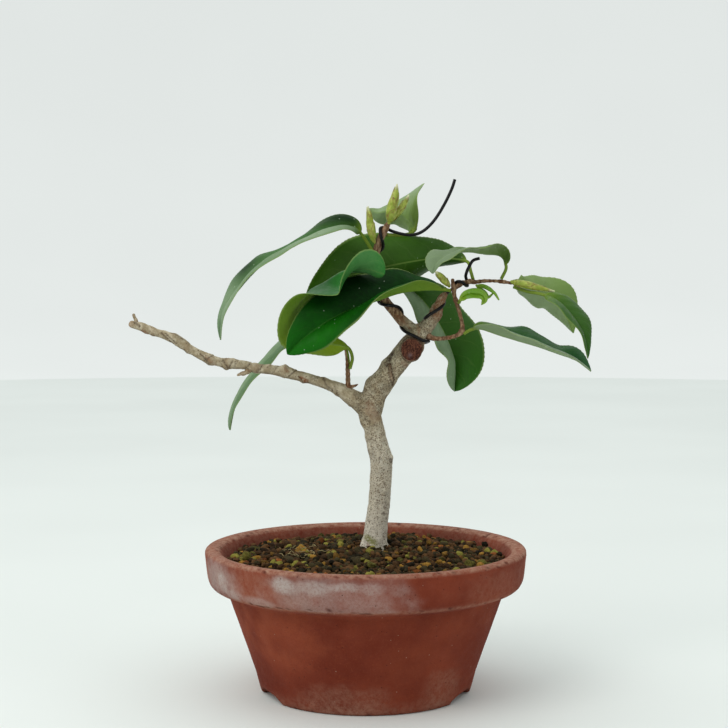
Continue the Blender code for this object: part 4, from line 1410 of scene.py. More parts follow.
    def weathered(self) -> Skin:
        """The fused wood with its bark relief and the values that colour it."""
        points, normals, faces = self.grown()
        own, at, turn, row = self.located(points)
        x, y, z = points.T
        front = y < row[:, 1] + 0.1 * row[:, 3]
        left = (own == Bole.LEFT_BRANCH.value) * smoothstep(-x, 2.0, 9.0)
        young = (own == Bole.TOP_TWIG.value) * smoothstep(at, 4.0, 11.0)
        stub = (own == Bole.STUB.value).astype(float)
        leader = (own == Bole.LEADER.value).astype(float)
        old = np.clip(1.0 - left - young, 0.0, 1.0)
        values = {stain.value: np.zeros(len(points)) for stain in Stain}

        def lay(stain: Stain, amount: Array) -> None:
            """Stain the bark at least so much."""
            values[stain.value] = np.maximum(values[stain.value], amount)

        push = 0.26 * lumps(points, 4.6, 1.1) + 0.13 * lumps(points, 1.7, 6.2)
        push += 0.07 * lumps(points, 0.8, 2.4)
        push *= np.clip(0.35 + old + 0.5 * left, 0, 1.1)

        # Spiral grooves, nodes and knobs
        pitch = 10.5 + 2.0 * np.sin(at / 17.0)
        phase = (turn + 2 * math.pi * at / pitch) % (2 * math.pi) - math.pi
        patchy = left * smoothstep(lumps(points, 9.0, 3.8), -0.5, 0.1)
        spiral, second = bell(phase, 0.30) * patchy, bell(phase - 0.9, 0.2) * patchy
        push += 0.16 * bell(phase - 0.5, 0.35) * patchy - 0.36 * spiral - 0.2 * second
        lay(Stain.GROOVE, 0.7 * spiral + 0.35 * second)
        for place in self.node_bands:
            ring = bell(x - place, 1.1) * left
            push += 0.22 * ring
            lay(Stain.RUST, 0.15 * ring)
        for hump_x, hump_z, reach, amount in self.humps:
            push += amount * bell(1.5 * np.hypot(x - hump_x, z - hump_z), reach)
        push += (0.08 * np.sin(at * 2.2 + 2.0 * lumps(points, 3.0, 7.1))
                 * np.clip(stub + 0.25 * young, 0, 1))

        # Marks on the front and blotches behind
        for stain, marks in self.marks.items():
            for half_width, strength, depth, line in marks:
                gap = self.line_distance(x, z, line)
                amount = (1 - smoothstep(gap / half_width, 0.4, 1.3)) * front * strength
                lay(stain, amount)
                push -= depth * amount
        for seed, stain in ((2.0, Stain.RUST), (5.0, Stain.PALE)):
            lay(stain, 0.5 * smoothstep(lumps(points, 5.0, seed), 0.35, 0.6) * ~front * old)

        # The pruning scar: its sunken rim, its rays and rings, and its heart
        off_x, off_z = x - self.scar_at[0], z - self.scar_at[2]
        gap = np.hypot(off_x / self.scar_wide, off_z / self.scar_tall)
        scar = (1 - smoothstep(gap, 0.98, 1.12)) * (y < 2.0)
        rim = bell(gap - 1.14, 0.11) * (y < 2.0)
        lay(Stain.GROOVE, 0.95 * rim)
        rays = np.sin(np.arctan2(off_z, off_x) * 9 + 2.5 * lumps(points, 1.5, 4.0))
        rings = np.sin(gap * 17.0 + 2.5 * lumps(points, 2.2, 6.4))
        push += scar * (0.1 * rays + 0.14 * rings) - 0.3 * rim
        heart = bell(off_x + 0.6, 0.9) * bell(off_z + 2.6, 1.0) * (y < 2.0)

        # How pale, dotted and rusty each length is, and painted shade under the left branch
        low = 1 - smoothstep(z, 70.0, 96.0)
        lay(Stain.PALE, (0.55 + 0.4 * low) * (own == Bole.TRUNK.value)
            * (1 - smoothstep(z, 112.0, 128.0)))
        fork = bell(z - 135.0, 9.0) * old
        spots = np.clip(0.6 * old - 0.2 * low + 0.16 * leader + 0.32 * fork + 0.35 * stub
                        + 0.12 * left, 0, 1)
        tan = 1 - smoothstep(self.line_distance(x, z, self.tan_line), 1.5, 3.2)
        spots *= 1 - 0.8 * tan * front
        for amount in (0.35 * tan * front, 0.8 * stub * smoothstep(at, 9.0, 15.0),
                       0.5 * leader * smoothstep(at, 38, 44),
                       0.8 * left * smoothstep(-x, 106.0, 110.5)):
            lay(Stain.RUST, amount)
        # Painted shade: left-branch bark that faces down is darkened in the groove colour
        lay(Stain.GROOVE, 0.45 * left * smoothstep(-normals[:, 2], 0.35, 0.9))
        return Skin(points + normals * push[:, None], faces, old=old, twig=young, spots=spots,
                    scar=scar, heart=heart, **values)

    def twigs(self) -> list:
        """The thin twigs and spurs, each a tapering rod with rings at its nodes."""
        found = []
        for k, rows in enumerate(self.thin):
            length = sum(math.dist(a[:3], b[:3]) for a, b in zip(rows, rows[1:]))
            line = evenly(rows, max(24, int(length / 0.3)))
            steps = np.linspace(0, length, len(line))[:, None]
            swell = 1 + 0.07 * np.sin(steps * 2.6 + k) + 0.05 * np.sin(3 * full_turn(20) + k)
            skin = swept(line, 20, swell=swell)
            skin.points += 0.06 * unit(skin.points) * lumps(skin.points, 0.9, 5.0 + k)[:, None]
            size = len(skin.points)
            skin.values["twig"] = np.full(size, 0.25 if k < 2 else 1.0)
            skin.values["rust"] = 0.5 * smoothstep(lumps(skin.points, 2.4, 8.0 + k), 0.0, 0.4)
            skin.values["spots"] = np.full(size, 0.25)
            found.append(skin)
        return found

    def build(self) -> None:
        """Make the wood."""
        skin = Skin.merged([self.weathered()] + self.twigs())
        dressed(skin, "grown_wood", Bark().build(), "bark", "tree_wood")


# The leaves


class Face(Enum):
    """Which face of a leaf looks to the front where its halves lie flat."""

    UPPER = 1
    UNDER = -1


# Each finish's pale and shadow colours are those of its painted sheen and painted shade; the silver
# look is painted sheen
FINISHES = (
    LeafFinish("deep", tint(14, 60, 6), tint(6, 52, 4), tint(16, 90, 6), tint(112, 142, 46),
        tint(104, 136, 44), tint(102, 136, 44), rib=tint(70, 116, 40), pale=tint(26, 124, 10),
        shadow=tint(4, 28, 6), shine=0.1, lines=0.55),
    LeafFinish("olive", tint(44, 76, 12), tint(56, 98, 14), tint(64, 108, 16), tint(116, 138, 56),
        tint(100, 122, 62), tint(100, 122, 62), shine=0.12),
    LeafFinish("wavy", tint(96, 132, 30), tint(44, 120, 40), tint(34, 116, 44), tint(130, 156, 24),
        tint(104, 140, 34), tint(36, 118, 42), pale=tint(104, 158, 96), shadow=tint(26, 84, 30),
        gloss=0.42, coat=0.04),
    LeafFinish("silver_sheen", tint(58, 92, 18), tint(60, 104, 46), tint(80, 112, 76),
        tint(112, 132, 80), tint(132, 152, 114), tint(124, 146, 112), shadow=tint(16, 44, 14),
        shine=0.08),
    LeafFinish("grey", tint(100, 134, 40), tint(44, 90, 40), tint(44, 88, 50), tint(106, 134, 56),
        tint(114, 140, 76), tint(110, 138, 70), shadow=tint(30, 66, 30), gloss=0.42, coat=0.05),
    LeafFinish("hanging", tint(46, 78, 20), tint(50, 90, 24), tint(46, 100, 22),
        tint(108, 132, 82), tint(108, 134, 88), tint(108, 134, 88)),
    LeafFinish("arched", tint(66, 98, 20), tint(98, 124, 64), tint(92, 116, 72), tint(48, 84, 12),
        tint(84, 112, 54), tint(96, 116, 82), shadow=tint(34, 62, 10), gloss=0.42, coat=0.04),
    LeafFinish("fresh", tint(96, 128, 26), tint(48, 90, 14), tint(40, 86, 16), tint(92, 128, 34),
        tint(98, 126, 60), tint(98, 126, 60), gloss=0.42, coat=0.04),
    LeafFinish("young", tint(148, 180, 40), tint(120, 172, 40), tint(138, 172, 50),
        tint(160, 186, 62), tint(150, 178, 60), tint(120, 140, 50), gloss=0.32, coat=0.35,
        shine=0.3),
)


@dataclass(frozen=True)
class Leaf:
    """One leaf: half widths, bluntness at base and tip, share of stalk, and its stations.

    A station is x, y, z and how far each half is turned out of the plane seen from the front,
    in degrees, + towards the viewer. A patch of painted light is its place along and across, its
    reach along and across, and how much painted highlight (+) or painted shade (-) it lays on.
    """

    name: str
    finish: str
    face: Face
    wide_a: float
    wide_b: float
    base: float
    tip: float
    stalk: float
    stations: tuple
    rows: int = 200
    cols: int = 15
    solid_rows: int = 20
    # Painted sheen on half a, on half b and towards the tip
    pale: tuple = (0.0, 0.0, 0.0)
    # Patches of painted highlight (+) and painted shade (-)
    painted_light: tuple = ()
    ease: int = 0
    tooth: float = 0.30
    tooth_pitch: float = 1.5
    blade: float = 0.30
    keel: float = 0.42
    dip: float = 0.20
    pillow: float = 0.16
    stalk_r: float = 0.72
    rim: float = 0.07

    @property
    def young(self) -> bool:
        """Whether the leaf is a young one, with faint teeth and veins."""
        return self.finish == "young"

    def width(self, t: Array) -> Array:
        """Half width at a share of the blade's length, as a share of its widest."""
        peak = (self.base / (self.base + self.tip)) ** self.base
        peak *= (self.tip / (self.base + self.tip)) ** self.tip
        inside = np.clip(t, 0.0, 1.0)
        return inside**self.base * (1.0 - inside) ** self.tip / peak

    def middle(self, t: Array, s: Array) -> tuple[Array, Array]:
        """The surface between the two faces, and its half widths.

        Args:
            t: shares of the blade's length, below 0 on the stalk.
            s: places across, from -1 to 1.

        Returns:
            The surface's points and the half width at each of them.
        """
        u = np.linspace(0, 1, self.rows + 1)
        step = 1.0 / self.solid_rows
        line = through(self.stations, u)
        ahead = through(self.stations, np.minimum(u + step, 1.0))[:, :3]
        behind = through(self.stations, np.maximum(u - step, 0.0))[:, :3]
        run = unit(ahead - behind)
        out, across = facing_frame(run)
        saw = (t * run_length(line)[-1] * (1.0 - self.stalk) / self.tooth_pitch) % 1.0
        teeth = self.tooth * (0.2 if self.young else 1.0) * (saw**1.4 - 0.5)
        teeth *= smoothstep(t, 0.05, 0.16) * (1 - smoothstep(t, 0.93, 1.0))
        least = np.maximum(0.8 * (1.0 - np.maximum(t, 0.0)), 0.16 + 0.24 * (t < 0.97))
        mid = np.empty((len(u), len(s), 3))
        wide = np.empty((len(u), len(s)))
        for j, place in enumerate(s):
            away, sign = abs(place), 1.0 if place >= 0 else -1.0
            turn = np.radians(line[:, 3] if place >= 0 else line[:, 4])
            half = (self.wide_a if place >= 0 else self.wide_b) * self.width(t)
            half = np.maximum(half + teeth * away**6, least)
            way = across * (sign * np.cos(turn))[:, None] + out * np.sin(turn)[:, None]
            bulge = np.where(t > 0, 0.10 * half * math.sin(math.pi * away), 0.0)
            wave = np.sin(u * 23.0 + 2.0 * sign) * smoothstep(t, 0.05, 0.2)
            rise = bulge + 0.05 * half * away**2 * wave
            lift = sign * np.cross(way, run)
            mid[:, j] = line[:, :3] + way * (half * away)[:, None] + lift * rise[:, None]
            wide[:, j] = half
        for _ in range(2):
            soft = mid.copy()
            for j in range(self.cols - 1, self.cols + 2):
                soft[:, j] = 0.25 * mid[:, j - 1] + 0.5 * mid[:, j] + 0.25 * mid[:, j + 1]
            mid = soft
        outer = np.abs(s) > 0.55
        for _ in range(self.ease):
            mid[1:-1, outer] = 0.5 * mid[1:-1, outer] + 0.25 * (mid[:-2, outer] + mid[2:, outer])
        return mid, wide

    def skin(self) -> Skin:
        """The leaf as a shell: toothed edge, keeled midrib, round stalk and sunken veins."""
        t = (np.linspace(0, 1, self.rows + 1) - self.stalk) / (1.0 - self.stalk)
        spread = np.linspace(-1, 1, 2 * self.cols + 1)
        s = np.sign(spread) * np.abs(spread) ** 1.15
        mid, wide = self.middle(t, s)
        normal = grid_normals(mid) * self.face.value
        t, s = np.meshgrid(t, s, indexing="ij")
        away = np.abs(s)
        rib = away * wide
        blade = smoothstep(t, -0.01, 0.07)

        phase = ((t - VEIN_LEAN * away**VEIN_BEND) * VEINS + 0.5 * (s > 0)) % 1.0
        vein = bell(np.minimum(phase, 1 - phase), 0.07) * (1 - away) ** 0.5
        puff = self.pillow * np.sin(math.pi * phase) * np.sin(math.pi * away) ** 0.7 - 0.09 * vein
        scale = 0.3 if self.young else 1.0
        puff *= scale * blade
        keel = self.keel * bell(rib, 0.75) * np.clip(1.15 - t, 0.2, 1.0) * scale
        thick = self.blade * (1 - 0.55 * away**3)
        stalk = (1 - blade) * self.stalk_r * np.sqrt(np.clip(1 - s**2, 0.02, 1.0))
        over = blade * (thick - self.dip * bell(rib, 0.55) * scale) + stalk + puff
        under = blade * (thick + keel) + stalk - 0.7 * puff
        over = np.where(away > 0.99, self.rim, over)
        under = np.where(away > 0.99, self.rim, np.maximum(under, 0.1))

        # Painted sheen on each half and near the tip, and patches of painted highlight and shade
        painted_sheen = np.where(s >= 0, self.pale[0], self.pale[1]) * smoothstep(rib, 0.1, 0.7)
        painted_sheen += self.pale[2] * smoothstep(t, 0.4, 0.9)
        gloom = np.zeros_like(painted_sheen)
        for along, across, long, broad, amount in self.painted_light:
            near = bell(t - along, long) * bell(s - across, broad)
            painted_sheen += max(amount, 0.0) * near
            gloom += max(-amount, 0.0) * near
        values = {"along": np.clip(t, 0, 1), "across": s, "rib": rib,
                  "pale": np.clip(painted_sheen, 0, 1) * blade, "gloom": np.clip(gloom, 0, 1) * blade,
                  # The rim value: the leaf's own paler margin, partly a painted edge highlight
                  "edge": smoothstep(away, 0.97, 1.0) * blade,
                  "stalk": 1 - smoothstep(t, -0.02, 0.05)}
        if self.face is Face.UNDER:
            mid, normal, over, under = (part[:, ::-1] for part in (mid, normal, over, under))
            values = {key: part[:, ::-1] for key, part in values.items()}
        return shell(mid, normal, over, under, values)


# Each leaf's pale shares and patches lay painted sheen, painted highlight and painted shade on it
LEAVES = (
    Leaf("left_long", "silver_sheen", Face.UPPER, 13.2, 12.6, 0.56, 0.92, 0.1, (
        (3, 6.6, 205.6, -20, 20), (-2, 4.5, 213.2, -25, 40), (-5, 3, 216, -38, 65),
        (-10.5, 1, 217, -50, 75), (-19, -2.5, 214.8, -72, 80), (-30.5, -6, 209, -82, 83),
        (-39, -7.5, 204.4, -84, 85), (-47, -9, 199.5, -66, 86), (-57, -10, 189, -53, 86),
        (-65, -9, 177.5, -62, 79), (-67, -7, 164.5, -15, 72)),
        rows=210, pale=(0.0, 0.25, 0.35), painted_light=(
            (0.08, 0.6, 0.16, 0.6, -1), (0.35, 0.9, 0.12, 0.25, 0.8), (0.30, -0.7, 0.2, 0.4, 0.5),
            (0.62, 0.65, 0.08, 0.5, -0.85), (0.8, 0.1, 0.1, 0.8, 0.35))),
    Leaf("back", "olive", Face.UPPER, 17.8, 15.6, 0.8, 0.74, 0.12, (
        (50, 3.1, 192, -18, -33), (49, 6, 196, -23, -45), (47.5, 9, 200.5, -30, -61),
        (38, 13, 202, -38, -66), (28, 16, 201.5, -37, -61), (9, 18, 198, -23, -37),
        (-7.5, 19, 193.5, 19, -27), (-20.5, 19, 186.5, 42, -11), (-30, 18, 179.5, 60, 3)), rows=210,
        painted_light=((0.15, 0.0, 0.2, 1.5, -0.5), (0.6, 0.3, 0.2, 0.5, 0.1))),
    Leaf("front", "deep", Face.UPPER, 16.3, 16.3, 0.65, 0.74, 0.05, (
        (39.2, -0.6, 187, -25, 104), (37, -1.5, 187.5, -30, 112), (27.5, -3, 187.5, -46, 116),
        (16, -5, 186, -32, 107), (5.5, -7, 182.5, -30, 95), (-8.5, -8.5, 177.5, -25, 71),
        (-20, -10, 171.5, -8, 44), (-29.5, -10.5, 164.5, 3, 23), (-36, -10, 158, 11, 10)), rows=210,
        painted_light=((0.45, 0.7, 0.22, 0.5, -0.8), (0.78, -0.5, 0.26, 0.55, 0.4),
               (0.3, -0.6, 0.14, 0.4, 0.25))),
    Leaf("wavy", "wavy", Face.UNDER, 10.0, 19.2, 0.75, 0.6, 0.115, (
        (-7.4, 2.2, 150.6, -18, -11), (-6.3, 1.4, 156, -19, -12), (-8.6, 1.2, 160.6, -21, -20),
        (-20.5, 1.2, 163.6, -25, -44), (-28, 1.5, 172, -32, 25), (-30.5, 1, 180, -41, 64),
        (-26.5, -0.5, 187, -53, 87), (-19, -2.5, 191.5, -67, 103), (-11.5, -4.5, 196, -80, 118),
        (-5.5, -6.5, 197.5, -76, 98), (2, -8.5, 197, -60, 32), (8.5, -10, 194.5, -20, -7)),
        rows=225, painted_light=((0.62, 0.0, 0.09, 2.0, -0.55), (0.88, 0.0, 0.08, 2.0, 0.6))),
    Leaf("top", "grey", Face.UNDER, 18.8, 13.3, 0.61, 1.0, 0.37, (
        (9.8, 9.3, 213, -36, -10), (15, 13, 213, 0, -13), (20.5, 17, 213.6, 35, -19),
        (23.5, 20, 216, 61, -34), (21, 23.5, 220, 49, -71), (17, 27, 223.5, -14, -66),
        (11.5, 29.5, 225, -71, -56), (5.5, 31.5, 224, -73, -32), (0.5, 33, 226, -46, -65)), ease=60,
        painted_light=((0.8, 0.0, 0.25, 2.0, 0.45), (0.45, 0.8, 0.15, 0.6, 0.5))),
    Leaf("left_thin", "silver_sheen", Face.UPPER, 11.9, 11.6, 0.77, 0.8, 0.16, (
        (-7.8, 5.6, 152, -57, 56), (-9.5, 9, 159.5, -60, 60), (-14, 12.5, 161.5, -62, 61),
        (-24, 17, 164, -68, 67), (-36.5, 22, 162.5, -76, 75), (-46, 26, 154.5, -82, 80),
        (-55.5, 28, 144, -82, 80), (-62.5, 28, 132.5, -80, 84), (-65.5, 26, 119.5, -40, 90)),
        pale=(0.6, 0.3, 0.0)),
    Leaf("hanging", "hanging", Face.UPPER, 16.8, 16.8, 0.85, 0.55, 0.1, (
        (7.8, 9.4, 193.5, 9, 40), (13.5, 12, 190.8, 31, 60), (20.5, 15.5, 188, 43, 45),
        (27.5, 20, 181.5, 50, -5), (34.5, 24, 171.5, 64, -30), (39.5, 25.5, 161.5, 72, -14),
        (42.5, 25, 151, 74, 8), (42.5, 22, 138.5, 60, 20)), pale=(0.6, 0.0, 0.0)),
    Leaf("right_low", "grey", Face.UPPER, 11.5, 12.5, 0.61, 0.86, 0.08, (
        (45.6, 0.4, 167, 97, -5), (49, -1, 169, 103, -19), (53.5, -3, 169.5, 107, -59),
        (61, -5, 167, 110, -64), (70.5, -7, 164, 104, -58), (79, -8, 161.5, 98, -60),
        (89, -8, 158, 96, -69), (97, -7, 155, 87, -26), (104, -6, 150, 85, -30)),
        pale=(0.7, 0.0, 0.0)),
    Leaf("arched", "arched", Face.UNDER, 11.7, 11.0, 0.61, 0.63, 0.14, (
        (62.8, 0.6, 192.4, 18, 88), (65, 0, 198, -3, 115), (62, -3, 202.5, -45, 133),
        (55, -8, 203.5, -84, 124), (46.5, -14, 204.5, -80, 103), (39, -19, 203.5, -72, 91),
        (32.5, -22, 200, -32, 75), (30, -24, 195, -9, 69)), pale=(0.0, 0.0, 0.3),
        painted_light=((0.05, 0.0, 0.1, 2.0, -0.3),)),
    Leaf("right_back", "grey", Face.UNDER, 10.7, 11.7, 0.95, 0.9, 0.08, (
        (68, 3, 190.8, -16, -6), (71, 6, 191.6, -33, -36), (77, 14, 189, -52, -60),
        (85.5, 22, 186, -47, -60), (94, 29, 181, -33, -34), (101, 36, 166, -52, -22)),
        pale=(0.5, 0.0, 0.0)),
    Leaf("right_front", "fresh", Face.UPPER, 9.5, 9.4, 0.7, 0.96, 0.3, (
        (68.6, 1, 188.8, 25, -24), (75, -1.5, 186.6, 39, -28), (80.5, -5, 185.6, 54, -34),
        (87, -9, 183, 70, -51), (93, -13, 177, 70, -46), (98, -16, 168.5, 76, -44),
        (101, -17, 156.5, 80, -46))),
    Leaf("young_curled", "young", Face.UPPER, 3.0, 2.9, 0.6, 0.7, 0.1, (
        (43.2, -0.2, 181.4, 0, 0), (44, -1.5, 183, 20, 20), (46.5, -2.5, 185, 50, 30),
        (50, -3.5, 185.5, 50, 15), (53, -4, 185, 50, 15), (54.5, -4, 183, 50, 20),
        (53.4, -4, 180.5, 50, 20)), rows=110, cols=10),
)


@dataclass
class Foliage:
    """All the leaves, each its own piece."""

    leaves: tuple = LEAVES
    rolled: tuple = (
        ((51.8, 1, 189.4, 0.5), (54, 0, 189.2, 0.9), (56.8, -1, 188, 0.9), (59.6, -1.5, 186, 0.7),
         (61.5, -2, 183, 0.4)),
        ((51.4, 1.2, 189.5, 0.5), (53, 1.6, 188, 0.9), (55.5, 1.8, 186, 0.9), (57, 1.5, 184, 0.7),
         (59, 1, 185.6, 0.4)),
    )

    def rolled_leaf(self, rows: Rows, seed: float) -> Skin:
        """A leaf still rolled up: a spindle with the lap of the roll winding round it."""
        sides, count = 36, 70
        share = np.linspace(0, 1, count)[:, None]
        lap = (np.arange(sides)[None, :] / sides + 0.6 * share + seed) % 1.0
        skin = swept(evenly(rows, count), sides, swell=0.88 + 0.3 * lap)
        skin.values["along"] /= skin.values["along"].max()
        skin.values["rib"] = np.full(len(skin.points), 2.0)
        return skin

    def build(self) -> None:
        """Make every leaf."""
        materials = {finish.name: finish.build() for finish in FINISHES}
        for leaf in self.leaves:
            slot = "young_leaf" if leaf.young else "leaf"
            dressed(leaf.skin(), f"foliage_{leaf.name}", materials[leaf.finish], slot,
                    f"leaf_{leaf.name}")
        pair = Skin.merged([self.rolled_leaf(rows, 0.3 * k) for k, rows in enumerate(self.rolled)])
        dressed(pair, "foliage_young_pair", materials["young"], "young_leaf", "leaf_young_pair")


# The buds


@dataclass
class Buds:
    """Winter buds wrapped in overlapping scales."""

    buds: tuple = (
        ("top_pair",
         ((10.8, 6.4, 218.6, 0.9), (11.2, 6, 220.5, 2.1), (12, 5.2, 225, 2.6),
          (13.4, 4.6, 230, 2.1), (14.5, 4.4, 236.3, 0.4)),
         ((11.2, 6.8, 219.2, 0.9), (13, 8, 221, 1.4), (16, 8.6, 224.8, 1.7),
          (18.4, 8.8, 228.5, 1.3), (20, 9, 231.5, 0.4))),
        ("top_side",
         ((4.2, 6, 209.4, 0.7), (3.5, 5.7, 211.5, 1.5), (2.4, 5.2, 216, 2.1),
          (1.6, 4.7, 221.5, 1.4), (1, 4.4, 226, 0.4))),
        ("node",
         ((38.7, -0.2, 189, 0.7), (37.4, -1.4, 190.6, 1.4), (35.5, -3, 192.6, 1.7),
          (33.6, -3.8, 194.4, 1.3), (32, -4.5, 195.8, 0.4))),
        ("end",
         ((67.6, -0.6, 191.2, 0.9), (70, -1.8, 190.6, 1.7), (75, -2.6, 189.6, 1.8),
          (81, -3.4, 188.2, 1.2), (87, -4, 186.8, 0.4))))
    scales: int = 6
    golden: float = math.radians(137.5)
    half_wrap: float = math.radians(105)

    def scale(self, line: Array, frame_: tuple, start: float, end: float, middle: float,
              lift: float) -> Skin:
        """One bud scale wrapped round the spindle.

        Args:
            line: fine rows of the spindle.
            frame_: the run and the two directions square to it, at each row.
            start: share of the spindle where the scale begins.
            end: share where its point is.
            middle: the turn of its middle, in radians.
            lift: how far it stands off the spindle, in millimetres.

        Returns:
            The scale as a closed shell.
        """
        rows, cols = 20, 13
        _, side, up = frame_
        last = len(line) - 1
        q = np.linspace(0, 1, rows)
        at = (start + (end - start) * q) * last
        i = np.clip(np.round(at).astype(int), 0, last)
        half = self.half_wrap * np.clip(1 - q**2.6, 0.0, 1.0) ** 0.75 + 0.03
        v = np.linspace(-1, 1, cols)
        turn = middle + half[:, None] * v[None, :]
        off = lift * (0.4 + 0.6 * q) + 0.12 * q**4
        radius = line[i, 3][:, None] + off[:, None] * (1 - 0.35 * v**2)[None, :]
        way = side[i][:, None] * np.cos(turn)[..., None] + up[i][:, None] * np.sin(turn)[..., None]
        mid = line[i, None, :3] + way * radius[..., None]
        thick = np.full(mid.shape[:2], 0.08)
        thick[:, (0, -1)] = 0.02
        thick[-1] = 0.02
        rim = np.maximum(np.abs(v)[None, :] ** 4, (q**6)[:, None])
        along = np.repeat(at[:, None] / last, cols, axis=1)
        return shell(mid, way, thick, thick, {"along": along, "rim": rim})

    def bud(self, rows: Rows, seed: int) -> Skin:
        """A bud: its spindle and the scales round it."""
        line = evenly(rows, 90)
        line[:, 3] *= 0.84
        core = swept(line, 28)
        core.values["along"] /= core.values["along"].max()
        core.values["rim"] = np.zeros(len(core.points))
        frame_ = transport_frame(line[:, :3])
        parts = [core]
        for k in range(self.scales):
            start = 0.02 + 0.1 * k
            end = min(1.0, start + 0.40 + 0.03 * k)
            lift = 0.2 + 0.16 * (self.scales - k) / self.scales
            parts.append(self.scale(line, frame_, start, end, seed + self.golden * k, lift))
        return Skin.merged(parts)

    def build(self) -> None:
        """Make every bud."""
        material = BudFinish().build()
        for name, *lines in self.buds:
            skin = Skin.merged([self.bud(rows, k + len(name)) for k, rows in enumerate(lines)])
            dressed(skin, f"scaly_bud_{name}", material, "bud", f"bud_{name}")


# The wires


@dataclass
class Wires:
    """The two aluminium wires: wound round their twigs, with a free end each."""

    wood: Wood
    radius: float = 0.74
    hug: float = -0.05
    per_turn: int = 48
    top_start: tuple = (
        (23.5, 9.6, 161.6), (26.6, 8.4, 162.2), (29, 5.6, 163), (29.3, 2.6, 163.5),
        (27.6, -0.2, 163.6), (25.6, -1.1, 164.4), (23.3, -1.2, 165.6), (20.6, -0.6, 166.9),
        (18.4, 1.2, 168), (16.9, 4, 169.3), (16.4, 7, 170.6), (17.2, 9, 171.2))
    top_end: tuple = (
        (8.8, 10.8, 216.8), (11.4, 11, 215.2), (14, 10.2, 214.2), (17.5, 9.4, 213.3),
        (21.5, 9.5, 213), (25, 9.8, 213.8), (28.5, 10, 216), (33, 10.8, 221), (37.5, 11.2, 228.5),
        (40.5, 11.6, 235), (41.8, 12, 239))
    stub_turn: tuple = (
        (29.2, 6.2, 172.8), (27.6, 3.6, 173.6), (27.9, 1, 174.6), (30, -0.9, 176.2),
        (32.4, -1.3, 177.7), (34.6, -0.6, 179), (36.2, 1.2, 180.6), (36.6, 3.6, 182.6))
    side_link: tuple = ((37, 4.8, 185), (39.5, 4.3, 187.2))
    side_end: tuple = (
        (47.3, 3.4, 189.6), (47.2, 4.1, 191), (46.7, 3.3, 192.8), (46.4, 1.5, 194), (47, 0, 196.3),
        (48, -1, 198.5), (49.5, -2, 201), (52.5, -3, 202))

    def wrap(self, rows: Rows, first: float, last: float, turns: float, start: float) -> list:
        """Points of a wire wound round a tapering twig.

        Args:
            rows: the twig's rows of x, y, z and radius.
            first: share of the twig where the winding starts.
            last: share where it ends.
            turns: how many turns, signed.
            start: turn of the first point, in degrees.

        Returns:
            The points, in order.
        """
        count = max(12, int(abs(turns) * self.per_turn))
        share = np.linspace(0, 1, count + 1)
        at = first + (last - first) * share
        line = through(rows, at)
        run = unit(through(rows, np.minimum(at + 0.005, 1))[:, :3]
                   - through(rows, np.maximum(at - 0.005, 0))[:, :3])
        out, across = facing_frame(run)
        turn = (math.radians(start) + 2 * math.pi * turns * share)[:, None]
        reach = (line[:, 3] + self.radius + self.hug)[:, None] * 1.03
        return list(line[:, :3] + (out * np.cos(turn) + across * np.sin(turn)) * reach)

    def wire(self, points: list) -> Skin:
        """A round wire through points, eased where stretches meet, with snipped ends."""
        line = np.array([np.asarray(point, float)[:3] for point in points])
        steps = run_length(line)
        even = np.linspace(0, steps[-1], int(steps[-1] / 0.35))
        line = np.stack([np.interp(even, steps, line[:, k]) for k in range(3)], axis=-1)
        for _ in range(6):
            line[1:-1] = 0.5 * line[1:-1] + 0.25 * (line[:-2] + line[2:])
        kink = 0.06 * np.stack([lumps(line, 7.0, 3.0 + k) for k in range(3)], axis=-1)
        kink *= smoothstep(np.minimum(even, even[-1] - even), 0.0, 4.0)[:, None]
        rows = np.concatenate((line + kink, np.full((len(line), 1), self.radius)), axis=1)
        return swept(rows, 20, blunt=True)

    def build(self) -> None:
        """Make both wires."""
        material = WireFinish().build()
        top = [*evenly(self.top_start, 60), *self.wrap(self.wood.top_twig, 0.16, 0.95, -2.74, 190),
               *evenly(self.top_end, 90)]
        side = [*evenly(self.stub_turn, 60), *self.side_link,
                *self.wrap(self.wood.thin[5], 0.04, 0.26, 0.75, 180), *evenly(self.side_end, 60)]
        dressed(self.wire(top), "training_wire_top", material, "wire", "wire_top")
        dressed(self.wire(side), "training_wire_side", material, "wire", "wire_side")


# The studio


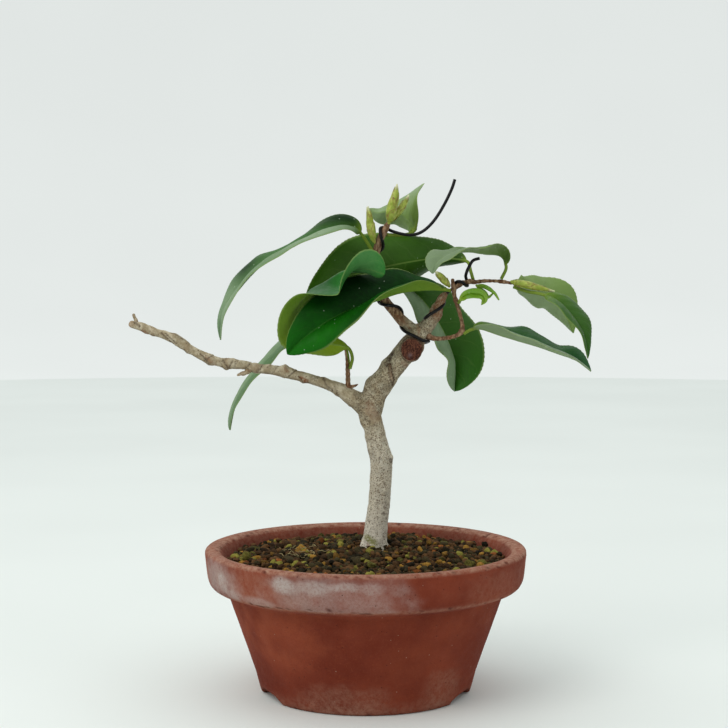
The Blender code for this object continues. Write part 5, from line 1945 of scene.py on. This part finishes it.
@dataclass
class Studio:
    """A pale floor that turns up into a wall, soft lights and the camera."""

    turns: int = 96
    floor_r: float = 2.2
    wall_top: float = 3.6
    wall_bend: float = 1.2
    focal_px: float = 1649.755
    picture_px: float = 728.0
    sensor_mm: float = 36.0
    camera_at: tuple = (-0.000843, -0.766, 0.198435)
    pitch: float = 0.0593
    dim: float = 0.14
    above: float = 0.80
    left: float = 0.26
    behind: float = 0.22

    def surface(self, name: str, rings: list, finish: Backdrop) -> bpy.types.Object:
        """A turned surface that is part of the studio."""
        turn = full_turn(self.turns)
        points = [(r * c, r * s, z) for r, z in rings for c, s in zip(np.cos(turn), np.sin(turn))]
        mesh = bpy.data.meshes.new(name)
        mesh.from_pydata(points, [], grid_faces(len(rings), self.turns, ring=True))
        mesh.shade_smooth()
        mesh.materials.append(finish.build())
        obj = placed(name, mesh)
        return obj

    def backdrop(self) -> None:
        """The floor, and the wall that only the camera sees."""
        z = CAD_BOX[0].z
        paint = Backdrop("floor_paint", tint(233, 237, 234), tint(229, 233, 230))
        radii = (0.001, 0.2, 0.5, 0.9, 1.5, self.floor_r)
        self.surface("studio_floor", [(r, z) for r in radii], paint)
        bend = self.wall_bend
        curve = [(self.floor_r + bend * math.sin(a), z + bend * (1 - math.cos(a)))
                 for a in np.linspace(0, math.pi / 2, 24)]
        curve.append((self.floor_r + bend, self.wall_top))
        wall_paint = Backdrop("wall_paint", tint(92, 94, 93), tint(86, 88, 87), 0.72)
        wall = self.surface("studio_wall", curve, wall_paint)
        wall.visible_diffuse = False
        wall.visible_glossy = False
        wall.visible_shadow = False
        wall.visible_transmission = False

    def area(self, name: str, place: tuple, aim: tuple, size: float, power: float,
             colour: tuple) -> None:
        """A soft square light."""
        light = bpy.data.lights.new(name, "AREA")
        light.size = size
        light.energy = power
        light.color = colour
        obj = placed(name, light)
        obj.location = place
        way = Vector(aim) - Vector(place)
        obj.rotation_euler = way.to_track_quat("-Z", "Y").to_euler()

    def sky(self) -> None:
        """Even overcast light from all round."""
        g = Graph(bpy.data.worlds.new("overcast"), "Generated")
        split = g.node("SeparateXYZ", {0: g.place})
        level = g.sum("ADD", g.span(split.outputs["Z"], -0.1, 0.9, 0.0, self.above), self.dim)
        level = g.sum("ADD", level, g.span(split.outputs["X"], 0.3, -1.0, 0.0, self.left))
        level = g.sum("ADD", level, g.span(split.outputs["Y"], -0.2, 0.9, 0.0, self.behind))
        ground = g.nodes["Background"]
        ground.inputs["Color"].default_value = (0.96, 1.0, 0.99, 1.0)
        g.feed(level, ground.inputs["Strength"])
        bpy.context.scene.world = g.owner

    def camera(self) -> None:
        """The camera at the photograph's place, angle and width."""
        data = bpy.data.cameras.new("camera")
        data.sensor_width = self.sensor_mm
        data.lens = self.focal_px * self.sensor_mm / self.picture_px
        data.clip_start = 0.01
        data.clip_end = 50.0
        obj = placed("camera", data)
        obj.location = Vector(self.camera_at) + Vector(AXIS * MM)
        obj.rotation_euler = (math.pi / 2 - self.pitch, 0.0, 0.0)
        bpy.context.scene.camera = obj

    def build(self) -> None:
        """Set the studio up."""
        self.backdrop()
        self.sky()
        self.area("key", (-0.9, -1.0, 1.3), (0, 0, 0.12), 1.0, 9.0, (1.0, 0.99, 0.96))
        self.area("fill", (1.2, -0.7, 0.8), (0, 0, 0.12), 1.2, 1.6, (0.95, 0.98, 1.0))
        self.camera()
        bpy.context.scene.view_settings.view_transform = "Standard"


def dress_net() -> None:
    """Give the drainage net, which is kept as it is, its plastic."""
    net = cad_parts["drain_net"]
    material = NetFinish().build()
    for slot in net.material_slots:
        slot.material = material
    LOG.info("drain_net: dressed")


def write_sizes() -> None:
    """Make a helper that turns a box into plain lists; nothing is written."""
    def plain(box: tuple) -> list:
        """A box as plain lists."""
        return [[float(number) for number in corner] for corner in box]


def main() -> None:
    """Build the plant from the pot up, then the studio."""
    logging.basicConfig(level=logging.INFO, format="%(message)s")
    pot = Pot()
    wood = Wood()
    pot.build()
    dress_net()
    Soil(pot, wood.trunk).build()
    wood.build()
    Foliage().build()
    Buds().build()
    Wires(wood).build()
    Studio().build()
    write_sizes()


if __name__ == "__main__":
    main()
